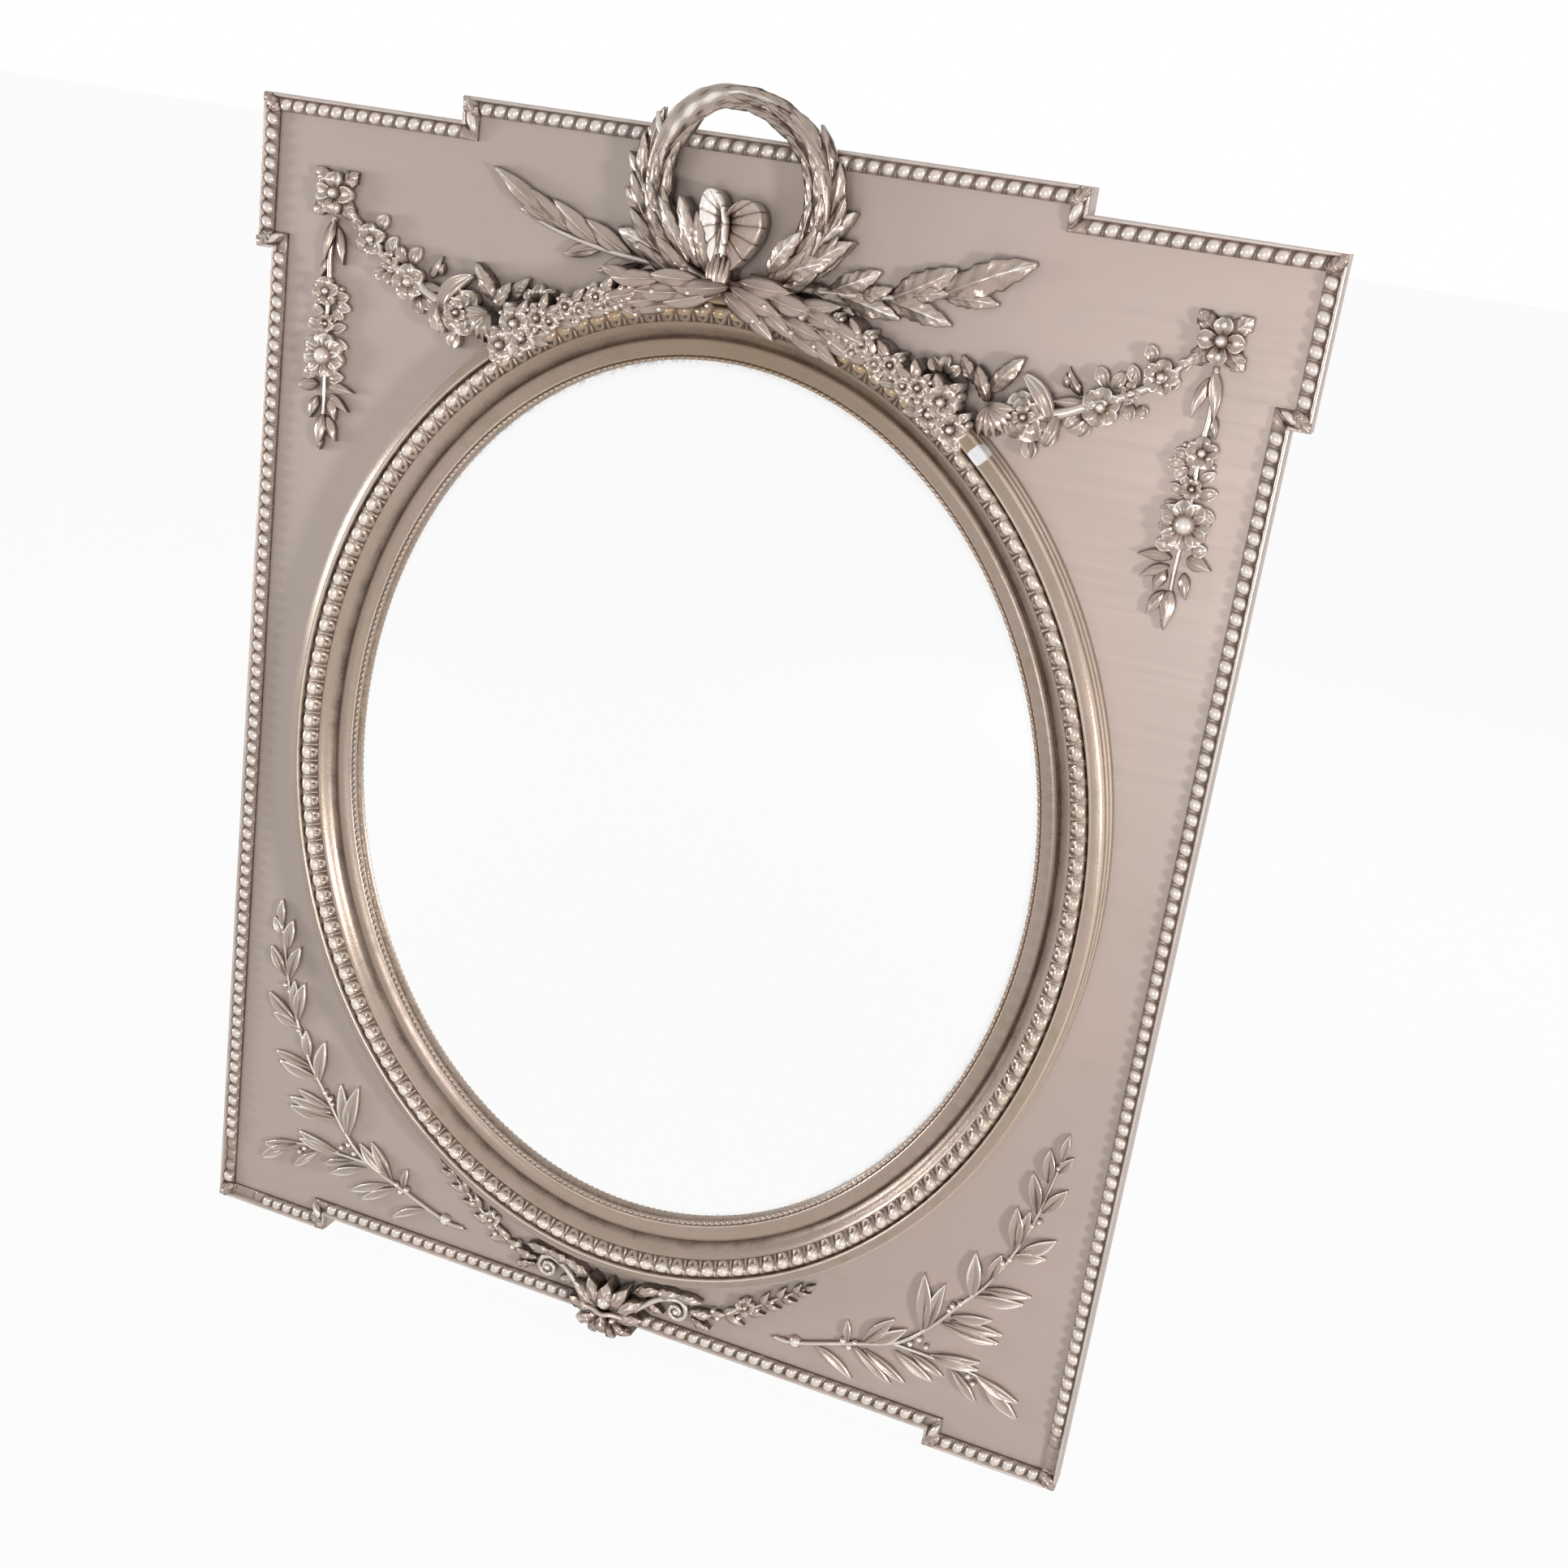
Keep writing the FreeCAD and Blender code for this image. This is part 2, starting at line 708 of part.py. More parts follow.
def make_battens():
    """Four battens that stiffen the panel and stand it off the wall."""
    thick = "sizes.batten_thick"
    full = "sizes.main_width - 2 * sizes.batten_inset"
    low_top = "(sizes.batten_low_base + sizes.batten_low_wide)"
    high_low = "(sizes.hanging_line - sizes.batten_wide / 2)"
    middle = "(sizes.main_width / 2 - sizes.batten_inset - sizes.stile_wide / 2)"
    places = batten_screw_places()
    top = board("batten_top_blank", high_low, full, "sizes.batten_wide", thick, thick)
    low = board("batten_low_blank", "sizes.batten_low_base", full, "sizes.batten_low_wide", thick, thick)
    holes = [screw_holes(places, 0, size("batten_screw"), f"batten_holes_{i}") for i in range(4)]
    plate_places = plate_screw_places(-1) + plate_screw_places(1)
    plate_holes = screw_holes(plate_places, 0, size("plate_screw"), "plate_pilot_holes")
    cut(top, [holes[0], hanger_recesses(), plate_holes], "batten_top")
    cut(low, [holes[1]], "batten_bottom")
    for i, (side, name) in enumerate(((-1, "left"), (1, "right"))):
        stile = board(
            f"batten_{name}_blank",
            low_top,
            "sizes.stile_wide",
            f"{high_low} - {low_top}",
            thick,
            thick,
            f"{side} * {middle}",
        )
        cut(stile, [holes[2 + i]], f"batten_{name}")
    screws = [screw_solid(x, z, 0, size("batten_screw")) for x, z in places]
    keep_shape(Part.makeCompound(screws), "batten_screws")


def make_field_panel():
    """The stepped panel, padded from a constrained sketch, with its oval opening and holes."""
    body = DOC.addObject("PartDesign::Body", "panel_blank")
    plane = [f for f in body.Origin.OriginFeatures if f.Role == "XZ_Plane"][0]
    sketch = body.newObject("Sketcher::SketchObject", "panel_outline")
    sketch.AttachmentSupport = (plane, [""])
    sketch.MapMode = "FlatFace"
    corners = outline_corners()
    drop = size("hanging_line")
    points = [V(x, z - drop, 0) for x, z, _, _ in corners]
    count = len(points)
    for i in range(count):
        sketch.addGeometry(Part.LineSegment(points[i], points[(i + 1) % count]), False)
    for i in range(count):
        sketch.addConstraint(Sketcher.Constraint("Coincident", i, 2, (i + 1) % count, 1))
    for i, (x, z, x_words, z_words) in enumerate(corners):
        across = sketch.addConstraint(Sketcher.Constraint("DistanceX", -1, 1, i, 1, x))
        sketch.setExpression(f"Constraints[{across}]", x_words)
        up = sketch.addConstraint(Sketcher.Constraint("DistanceY", -1, 1, i, 1, z - drop))
        sketch.setExpression(f"Constraints[{up}]", f"{z_words} - sizes.hanging_line")
    sketch.setExpression(".AttachmentOffset.Base.z", "sizes.batten_thick")
    pad = body.newObject("PartDesign::Pad", "panel_pad")
    pad.Profile = sketch
    pad.setExpression("Length", "sizes.panel_thick")
    DOC.recompute()
    face = "(sizes.batten_thick + sizes.panel_thick)"
    opening = ellipse_plate("panel_opening", "sizes.opening_margin", face, "sizes.panel_thick")
    board_holes = screw_holes(
        board_screw_places(), board_back(), size("board_screw"), "panel_board_pilots"
    )
    batten_holes = screw_holes(batten_screw_places(), 0, size("batten_screw"), "panel_batten_pilots")
    cut(body, [opening, board_holes, batten_holes], "field_panel")


def board_back():
    """Distance of the backing board's back from the wall."""
    return size("batten_thick") - size("board_thick")


def make_glass_and_board():
    """The mirror glass behind the moulding, and the board that closes the back."""
    face = "(sizes.batten_thick + sizes.panel_thick)"
    keep(ellipse_plate("glass", "sizes.glass_cover", face, "sizes.glass_thick"), "mirror_glass")
    blank = board(
        "board_blank",
        "sizes.oval_height - sizes.sight_half_height - sizes.board_reach",
        "2 * (sizes.sight_half_width + sizes.board_reach)",
        "2 * (sizes.sight_half_height + sizes.board_reach)",
        "sizes.batten_thick",
        "sizes.board_thick",
    )
    places = board_screw_places()
    holes = screw_holes(places, board_back(), size("board_screw"), "board_holes")
    cut(blank, [holes], "backing_board")
    screws = [screw_solid(x, z, board_back(), size("board_screw")) for x, z in places]
    keep_shape(Part.makeCompound(screws), "backing_board_screws")


def make_glazing_blocks():
    """Blocks between the glass and the backing board, all round the opening's edge."""
    deep = size("panel_thick") - size("glass_thick")
    wide = size("block_wide")
    long = size("block_long")
    outer = size("opening_margin") - size("seat_gap") - 1
    blocks = []
    for x, z, out in oval_stations(outer - wide / 2, int(size("block_count"))):
        block = Part.makeBox(wide, deep, long, V(-wide / 2, 0, -long / 2))
        block.rotate(V(0, 0, 0), V(0, 1, 0), -math.degrees(out))
        block.translate(at(x, z, -size("glass_thick")))
        blocks.append(block)
    keep_shape(Part.makeCompound(blocks), "glazing_blocks")


# ---------------------------------------------------------------- carving


FULL = ((0, 0), (0.34, 1), (0.7, 0.74), (1, 0))  # a large leaf: (share of its length, spread)
SLIM = ((0, 0), (0.42, 1), (1, 0))  # a small one


def leaf(x, z, angle, length, width, low, high, tip, ridge, sink, form=SLIM):
    """A pointed leaf with a ridge along it, standing on its ground.

    It starts at (x, z) and points to angle. low is the ground it stands on, high the rise of
    its edge at the stem, tip the rise of its edge at the point and ridge the ridge's height.
    sink is how far it reaches into what carries it before it is cut flush.
    """
    sections = []
    for share, spread in form:
        half = spread * width / 2
        edge = high + share * (tip - high)
        ring = []
        foot = low - sink
        crest = edge + spread * ridge
        for side, rise in ((-1, foot), (-1, edge), (0, crest), (1, edge), (1, foot)):
            px = x + share * length * math.cos(angle) - side * half * math.sin(angle)
            pz = z + share * length * math.sin(angle) + side * half * math.cos(angle)
            ring.append(at(px, pz, rise))
        sections.append(ring)
    return skin(sections)


def button(x, z, radius, low, high, sides=6):
    """A faceted ball or bud that stands on its ground."""
    sections = []
    for share, up in ((1, 0), (0.9, 0.6), (0, 1)):
        ring = []
        for k in range(sides):
            angle = 2 * math.pi * (k + 0.37) / sides
            px = x + share * radius * math.cos(angle)
            pz = z + share * radius * math.sin(angle)
            ring.append(at(px, pz, low + up * (high - low)))
        sections.append(ring)
    return skin(sections)


def stem(points, half, low, high):
    """A thin branch along a row of points (x, z), as a ridge on its ground."""
    sections = []
    count = len(points)
    for i, (x, z) in enumerate(points):
        ahead = points[min(i + 1, count - 1)]
        back = points[max(i - 1, 0)]
        angle = math.atan2(ahead[1] - back[1], ahead[0] - back[0])
        ring = []
        for side, rise in ((-1, low), (0, high), (1, low)):
            px = x - side * half * math.sin(angle)
            pz = z + side * half * math.cos(angle)
            ring.append(at(px, pz, rise))
        sections.append(ring)
    return skin(sections)


def flower(x, z, radius, low, high, petals=5, turn=0.3, sink=1.0):
    """An open flower in one piece: a lobed rim that rises to a bud in its middle."""
    rim = low + 0.6 * (high - low)
    rings = []
    for share, rise in ((1, low - sink), (1, rim), (0.3, low + 0.8 * (high - low)), (0, high + 1.5)):
        ring = []
        for k in range(2 * petals):
            angle = turn + math.pi * k / petals
            reach = share * radius * (1 if k % 2 == 0 or share < 1 else 0.55)
            ring.append(at(x + reach * math.cos(angle), z + reach * math.sin(angle), rise))
        rings.append(ring)
    return [skin(rings)]


def along_path(points, share):
    """The place at a share of a path's length, and the path's direction there."""
    lengths = [math.hypot(b[0] - a[0], b[1] - a[1]) for a, b in zip(points, points[1:])]
    left = share * sum(lengths)
    for (a, b), length in zip(zip(points, points[1:]), lengths):
        if left <= length or (a, b) == (points[-2], points[-1]):
            part = left / length
            angle = math.atan2(b[1] - a[1], b[0] - a[0])
            return a[0] + part * (b[0] - a[0]), a[1] + part * (b[1] - a[1]), angle
        left -= length
    return points[-1][0], points[-1][1], 0.0


def oval_keep_out():
    """The space that the oval frame and its eggs hold, with the seat gap."""
    gap = size("seat_gap")
    rim = ellipse(size("oval_wide") + gap, -1)
    rise = size("oval_rise") + gap + 1
    return Part.Face(Part.Wire(rim)).extrude(V(0, -rise, 0))


def border_keep_outs():
    """The space that the top and bottom middle lengths of the border hold, with the seat gap."""
    gap = size("seat_gap")
    wide = size("border_wide") + gap
    rise = size("border_rise") + gap
    boxes = []
    top = size("ear_top") + size("top_rise")
    for low, width in ((top - wide, "top_block_width"), (size("foot_drop") - gap, "recess_width")):
        corner = at(-size(width) / 2, low, rise)
        boxes.append(Part.makeBox(size(width), rise + 1, wide + gap, corner))
    return boxes


def wreath_place(turn):
    """Centre line of the wreath: place, rise and half thickness at a turn from its top."""
    radius = size("wreath_radius")
    x = radius * math.sin(turn)
    z = size("wreath_height") + radius * math.cos(turn)
    low = 0.5 - 0.5 * math.cos(min(abs(turn) / 1.9, 1) * math.pi)
    half = size("wreath_thin") + low * (size("wreath_thick") - size("wreath_thin"))
    rise = size("wreath_front") - low * size("wreath_lean")
    return x, z, rise, half


def make_wreath():
    """The laurel wreath, which stands up over the raised top."""
    sections = []
    count = 24
    for k in range(count):
        turn = -math.pi + 2 * math.pi * (k + 0.5) / count
        x, z, rise, half = wreath_place(turn)
        ring = []
        for corner in range(6):
            angle = 2 * math.pi * corner / 6
            reach = half * 0.86 * math.cos(angle)
            up = rise + half * math.sin(angle)
            ring.append(at(x + reach * math.sin(turn), z + reach * math.cos(turn), up))
        sections.append(ring)
    pieces = [skin(sections, closed=True)]
    for side in (-1, 1):
        for k in range(7):
            turn = side * (0.14 + 0.38 * k)
            x, z, rise, half = wreath_place(turn)
            heading = math.pi - turn if side > 0 else -turn
            for lean in (-1, 1):
                out = half * 0.5 * lean
                px = x + out * math.sin(turn)
                pz = z + out * math.cos(turn)
                angle = heading + side * lean * -0.3
                root, tip = rise + 0.75 * half, rise + 0.95 * half
                pieces.append(leaf(px, pz, angle, 34, 1.1 * half, rise, root, tip, 2.2, 0.02 * k))
    keep_shape(seated(pieces, [oval_keep_out()] + border_keep_outs()), "laurel_wreath")


def make_bow():
    """The bow under the wreath: two pleated loops drawn into a knot."""
    knot = size("knot_height")
    loop = size("bow_loop")
    tall = size("bow_tall")
    pieces = []
    for side in (-1, 1):
        sections = []
        count = 9
        for k in range(count):
            share = k / (count - 1)
            turn = math.pi * share
            x = side * (loop * 0.52 - loop * 0.36 * math.cos(turn))
            z = knot + tall * (0.1 + 0.66 * math.sin(turn) ** 0.6 if share not in (0, 1) else 0.1)
            out = math.atan2(math.sin(turn) * 1.6, -side * math.cos(turn))
            pleat = 1.5 * (k % 2)
            ring = []
            for reach, rise in ((-0.16, 9), (-0.16, 21 + pleat), (0.22, 24 + pleat), (0.3, 12)):
                px = x + reach * loop * math.cos(out)
                pz = z + reach * loop * math.sin(out)
                ring.append(at(px, pz, rise))
            sections.append(ring)
        pieces.append(skin(sections))
    pieces.append(button(0, knot + 2, 11, -1, 27, 8))
    for side in (-1, 1):
        angle = math.pi / 2 - side * math.pi * 0.42
        pieces.append(leaf(side * 3, knot + 4, angle, 24, 12, 0, 12, 8, 3, 1.1 + side * 0.05, FULL))
    keep_shape(seated(pieces, [oval_keep_out()] + shapes_of("laurel_wreath")), "ribbon_bow")


def laurel_path():
    """Middle line of the right laurel branch, from the knot to its tip."""
    knot = size("knot_height")
    reach = size("laurel_reach")
    return (
        (14, knot + 4),
        (reach * 0.33, knot - 1),
        (reach * 0.62, knot + 4),
        (reach * 0.86, knot + 28),
    )


def make_laurel():
    """The two upper branches of laurel, spread each side of the knot."""
    path = laurel_path()
    long = size("laurel_leaf")
    pieces = [stem(path, 2.5, -1.05, 7)]
    for k, share in enumerate((0.08, 0.3, 0.52, 0.76)):
        x, z, heading = along_path(path, share)
        grow = 1.15 - 0.3 * share
        above, below = long * grow, long * grow * 0.9
        pieces.append(leaf(x, z, heading + 0.5, above, above / 3, 0, 7, 8, 3, 1.1 + 0.03 * k, FULL))
        pieces.append(leaf(x, z, heading - 0.42, below, below / 3, 0, 6, 6, 3, 1.2 + 0.03 * k, FULL))
    x, z, heading = along_path(path, 1)
    pieces.append(leaf(x - 4, z - 2, heading - 0.25, long * 1.05, long / 3, 0, 6, 5, 3, 1.4, FULL))
    under = [oval_keep_out()] + border_keep_outs()
    whole = seated(pieces, under + shapes_of("laurel_wreath", "ribbon_bow"))
    keep_shape(whole, "laurel_branch_right")
    keep_shape(mirrored(whole), "laurel_branch_left")


def make_leaf_spray():
    """The leaves below the knot, which lie over the lip of the oval at its top."""
    knot = size("knot_height")
    ground = size("oval_rise")
    long = size("laurel_leaf")
    rows = (
        (6, -16, -14, 1.15),
        (30, -10, 2, 1.15),
        (36, -22, -20, 1.05),
        (62, -17, -6, 1.0),
        (66, -28, -24, 0.9),
    )
    pieces = []
    for k, (x, z, degrees, grow) in enumerate(rows):
        angle = math.radians(degrees)
        reach = long * grow
        sink = 1.0 + 0.04 * k
        pieces.append(
            leaf(x, knot + z, angle, reach, reach / 3, 0, ground + 3, ground + 2, 3, sink, FULL)
        )
    beside = shapes_of("laurel_wreath", "ribbon_bow", "laurel_branch_right")
    whole = seated(pieces, [oval_keep_out()] + beside)
    keep_shape(whole, "leaf_spray_right")
    keep_shape(mirrored(whole), "leaf_spray_left")


def rosette_x():
    """Distance of the corner rosettes from the mirror's middle."""
    return size("main_width") / 2 - size("rosette_inset")


def make_rosettes():
    """The square leaf rosettes that the garlands and drops hang from."""
    x = rosette_x()
    z = size("rosette_height")
    half = size("rosette_across") / 2
    square = ((-1, -1), (1, -1), (1, 1), (-1, 1))
    plate = [[at(x + sx * half, z + sz * half, rise) for sx, sz in square] for rise in (-1, 4)]
    pieces = [skin(plate)]
    for k in range(4):
        corner = math.pi / 4 + k * math.pi / 2
        pieces.append(leaf(x, z, corner, half * 1.3, 15, 0, 5, 7, 3, 1.1 + 0.03 * k))
        pieces.append(leaf(x, z, corner + math.pi / 4, half * 0.95, 14, 0, 8, 9.5, 3, 1.3 + 0.03 * k))
    pieces.append(button(x, z, 6.5, -1.6, 15))
    whole = seated(pieces)
    keep_shape(whole, "corner_rosette_right")
    keep_shape(mirrored(whole), "corner_rosette_left")


def make_drops():
    """The flower drops below the corner rosettes."""
    x = rosette_x()
    top = size("rosette_height") - size("rosette_across") / 2 - size("seat_gap")
    tall = size("drop_tall")
    end = top - tall
    pieces = [stem([(x, top), (x + 1, top - tall * 0.5), (x, end + 22)], 3, -1.05, 8)]
    pieces.append(leaf(x + 1, top - 2, math.radians(-84), tall * 0.24, 9, 0, 6, 8, 2.5, 1.1))
    pieces.append(leaf(x - 2, top - tall * 0.08, math.radians(-108), tall * 0.16, 9, 0, 5, 5, 2.5, 1.13))
    pieces += flower(x, top - tall * 0.36, 14, 0, 8, 5, 0.9, 1.2)
    pieces += flower(x - 2, top - tall * 0.6, 22, 0, 12, 6, 0.2, 1.4)
    for k, degrees in enumerate((-60, -88, -120)):
        angle = math.radians(degrees)
        sink = 1.7 + 0.03 * k
        pieces.append(leaf(x, top - tall * 0.72, angle, tall * 0.2, 10, 0, 6, 5, 2.5, sink))
    pieces.append(leaf(x, top - tall * 0.82, math.radians(-78), tall * 0.14, 9, 0, 5, 4, 2.5, 1.8))
    pieces.append(leaf(x, end + 24, math.radians(-90), 24, 8, 0, 4, 3, 2, 1.85))
    whole = seated(pieces, shapes_of("corner_rosette_right"))
    keep_shape(whole, "flower_drop_right")
    keep_shape(mirrored(whole), "flower_drop_left")


def garland_path():
    """Middle line of the right garland: down from the rosette, then along the oval's top."""
    x = rosette_x() - size("rosette_across") / 2 - size("seat_gap")
    z = size("rosette_height") - 8
    oval_x = size("sight_half_width") + size("oval_wide")
    oval_z = size("sight_half_height") + size("oval_wide")
    points = [(x - 4, z), (x - 28, z - 28)]
    for degrees in (55, 62, 69, 76, 83):
        angle = math.radians(degrees)
        reach = 0.995 if degrees > 57 else 1.02
        points.append(
            (oval_x * reach * math.cos(angle), size("oval_height") + oval_z * reach * math.sin(angle))
        )
    return points


def make_garlands():
    """The garlands of flowers and leaves that run from the rosettes round the oval's top."""
    path = garland_path()
    ground = size("oval_rise")
    pieces = [stem(path[:3], 5, -1.05, 12)]
    for k, share in enumerate((0.1, 0.28)):
        x, z, heading = along_path(path, share)
        pieces += flower(x, z, 15 + 3 * k, 0, 13, 5, 0.4 + k, 1.1 + 0.2 * k)
    for k, share in enumerate((0.42, 0.53, 0.64, 0.75, 0.86, 0.96)):
        x, z, heading = along_path(path, share)
        radius = 19 - 2.2 * k
        pieces += flower(x, z, radius, 0, ground + 10 - k, 5, 0.5 * k, 1.5 + 0.15 * k)
        for lean in (-1, 1):
            angle = heading + lean * 0.6
            pieces.append(leaf(x, z, angle, radius * 1.9, 11, 0, ground + 3, ground + 2, 2.5, 2.6 + 0.05 * k))
    beside = shapes_of("leaf_spray_right", "laurel_branch_right", "corner_rosette_right")
    beside += shapes_of("flower_drop_right", "laurel_wreath", "ribbon_bow")
    whole = seated(pieces, [oval_keep_out()] + beside)
    keep_shape(whole, "garland_right")
    keep_shape(mirrored(whole), "garland_left")


def make_olive_sprigs():
    """The olive sprigs in the lower corners, a long stem and a short low branch each."""
    long = size("olive_leaf")
    side = size("main_width") / 2
    inset = ((269, 51), (248, 54), (202, 72), (160, 87), (112, 142), (81, 191), (63, 239), (53, 290))
    main = [(side - inward, z) for inward, z in inset]
    branch = [(side - inward, z) for inward, z in ((164, 84), (126, 86), (86, 80))]
    pieces = [stem(main, 1.8, -1.05, 4), stem(branch, 1.6, -1.08, 3.5)]
    pieces.append(button(*main[1], 6, -1.3, 7))
    k = 0
    for path, shares, inner, outer in (
        (main, (0.2, 0.34, 0.5, 0.64, 0.78, 0.9), 0.62, -0.75),
        (branch, (0.05, 0.45, 0.85), 0.5, -0.45),
    ):
        for share in shares:
            x, z, heading = along_path(path, share)
            for lean in (inner, outer):
                k += 1
                pieces.append(leaf(x, z, heading + lean, long, 10, 0, 3.5, 4.5, 2, 1.1 + 0.02 * k))
    x, z, heading = along_path(main, 1)
    pieces.append(leaf(x, z, heading, long * 0.8, 8, 0, 3, 3, 2, 1.6))
    x, z, heading = along_path(branch, 1)
    pieces.append(leaf(x, z, heading, long, 10, 0, 3, 3, 2, 1.65))
    whole = seated(pieces)
    keep_shape(whole, "olive_sprig_right")
    keep_shape(mirrored(whole), "olive_sprig_left")


def make_palmette():
    """The palmette under the oval, which hangs over the bottom border."""
    z = size("palmette_height")
    reach = size("palmette_reach")
    ground = size("border_rise") + 1
    pieces = []
    for k, degrees in enumerate((-90, -62, -118, -34, -146, 10, 170)):
        long = reach * (0.62 if abs(degrees + 90) < 60 else 1.0)
        angle = math.radians(degrees)
        sink = 1.0 + 0.04 * k
        pieces.append(leaf(0, z, angle, long, 19, 0, ground + 8, ground + 3, 4, sink, FULL))
    for k, degrees in enumerate((50, 90, 130)):
        angle = math.radians(degrees)
        sink = 1.4 + 0.04 * k
        pieces.append(leaf(0, z, angle, 34, 17, 0, ground + 10, ground + 18, 4, sink, FULL))
    pieces.append(button(0, z, 13, -1.7, 30, 8))
    keep_shape(seated(pieces, [oval_keep_out()] + border_keep_outs()), "base_palmette")


def make_base_scrolls():
    """The scrolls beside the palmette, and the husk chains that climb the oval's lip."""
    x = size("scroll_x")
    z = size("palmette_height") + 3
    oval_x = size("sight_half_width") + size("oval_wide") * 0.97
    oval_z = size("sight_half_height") + size("oval_wide") * 0.97
    pieces = [button(x, z, 11, -1.05, 17, 8)]
    pieces.append(stem([(40, z + 12), (x - 8, z + 13), (x + 4, z + 8)], 5, -1.1, 15))
    pieces.append(stem([(x + 4, z - 6), (x + 24, z - 2), (x + 46, z + 14)], 5, -1.15, 12))
    pieces.append(leaf(x + 14, z + 2, math.radians(-20), 30, 11, 0, 10, 6, 2.5, 1.2))
    count = 5
    for k in range(count):
        px = x + 34 + k * (size("husk_reach") - x - 34) / count
        angle = -math.acos(px / oval_x)
        pz = size("oval_height") + oval_z * math.sin(angle) - 2
        slope = math.atan2(oval_z * math.cos(angle), oval_x * -math.sin(angle))
        pieces.append(leaf(px, pz, slope + 0.35, 26, 12, 0, 16, 15, 3, 1.3 + 0.04 * k))
        pieces.append(leaf(px, pz - 4, slope - 0.4, 24, 11, 0, 10, 8, 3, 1.5 + 0.04 * k))
    under = [oval_keep_out()] + border_keep_outs()
    whole = seated(pieces, under + shapes_of("base_palmette"))
    keep_shape(whole, "base_scroll_right")
    keep_shape(mirrored(whole), "base_scroll_left")


# ---------------------------------------------------------------- build and write


def check_all():
    """Stop with a plain message if an object failed or a piece has no valid solid."""
    DOC.recompute()
    for item in DOC.Objects:
        if "Invalid" in item.State or "Error" in item.State:
            raise RuntimeError(f"{item.Label} failed: {item.State}")
    for item in NODES:
        if item.Shape.isNull() or not item.Shape.isValid() or not item.Shape.Solids:
            raise RuntimeError(f"{item.Label} has no valid solid")


def write_all():
    """Write each piece to its own file."""
    os.makedirs("parts", exist_ok=True)
    for item in NODES:
        item.Shape.exportStep(f"parts/{item.Label}.step")
        print(f"{item.Label}: {len(item.Shape.Solids)} solid(s), {item.Shape.Volume:.0f} mm3")


make_field_panel()
make_border()
make_oval_frame()
make_pearl_ring()
make_oval_eggs()
make_glass_and_board()
make_glazing_blocks()
make_battens()
make_hangers()
make_wreath()
make_bow()
make_laurel()
make_leaf_spray()
make_rosettes()
make_drops()
make_garlands()
make_olive_sprigs()
make_palmette()
make_base_scrolls()
check_all()
write_all()
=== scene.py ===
"""Looks of a carved gilt wall mirror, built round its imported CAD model.

The carving is laid out on a plan of 0.88 mm units: x from the middle line and z up from the feet. A rise
is in millimetres in front of the panel's face. Bench.lift turns plan points into the shared frame, in metres.
"""

import json
import logging
import math
from dataclasses import dataclass, field
from enum import Enum
from typing import Any, Iterable, Sequence

import bpy
import numpy as np
from mathutils import Matrix, Vector

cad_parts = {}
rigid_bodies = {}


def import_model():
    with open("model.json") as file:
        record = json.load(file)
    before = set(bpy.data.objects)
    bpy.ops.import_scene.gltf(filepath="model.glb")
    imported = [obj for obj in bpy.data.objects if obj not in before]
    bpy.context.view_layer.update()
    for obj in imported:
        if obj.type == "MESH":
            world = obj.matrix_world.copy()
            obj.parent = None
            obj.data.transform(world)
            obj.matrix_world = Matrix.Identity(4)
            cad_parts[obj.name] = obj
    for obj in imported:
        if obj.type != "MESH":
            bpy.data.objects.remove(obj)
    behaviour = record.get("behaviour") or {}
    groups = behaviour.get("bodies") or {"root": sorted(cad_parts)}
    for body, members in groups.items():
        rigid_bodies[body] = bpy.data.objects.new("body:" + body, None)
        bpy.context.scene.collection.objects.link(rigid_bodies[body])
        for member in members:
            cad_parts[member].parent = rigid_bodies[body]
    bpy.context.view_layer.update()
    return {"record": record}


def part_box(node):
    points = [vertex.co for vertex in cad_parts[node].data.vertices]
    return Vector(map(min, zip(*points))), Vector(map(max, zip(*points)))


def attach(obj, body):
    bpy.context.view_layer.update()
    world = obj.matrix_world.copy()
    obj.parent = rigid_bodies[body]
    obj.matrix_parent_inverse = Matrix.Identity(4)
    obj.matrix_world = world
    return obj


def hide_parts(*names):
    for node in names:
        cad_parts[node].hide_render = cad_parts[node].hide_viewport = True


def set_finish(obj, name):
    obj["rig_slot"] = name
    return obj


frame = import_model()
logging.basicConfig(level=logging.INFO, format="%(name)s: %(message)s")
LOG = logging.getLogger("mirror")

Array = np.ndarray
Rows = Sequence[Sequence[float]]
PLAN = 0.88  # millimetres to a plan unit
MM = 0.001
END_RINGS = 3  # rings of a border length between its mitre and its first egg
PANEL_BACK = -0.012  # Y of the panel's back face, in metres


# ------------------------------------------------------------------ surfaces


@dataclass
class Shell:
    """Closed surfaces as arrays: points in plan millimetres (x, z, rise) and a tone of 0 to 1 at each.

    Tone is 0 in the hollows, where shade and some dirt are painted dark, and 1 on the crests, where a highlight is
    painted.
    """

    points: Array
    tones: Array
    quads: Array
    tris: Array

    @staticmethod
    def joined(parts: Sequence["Shell"]) -> "Shell":
        """One shell that holds all the parts.

        Args:
            parts: shells to put side by side.

        Returns:
            A shell whose corner numbers run on from part to part.
        """
        starts = np.cumsum([0] + [len(part.points) for part in parts[:-1]])
        return Shell(
            np.concatenate([part.points for part in parts]),
            np.concatenate([part.tones for part in parts]),
            np.concatenate([part.quads + start for part, start in zip(parts, starts)]),
            np.concatenate([part.tris + start for part, start in zip(parts, starts)]),
        )


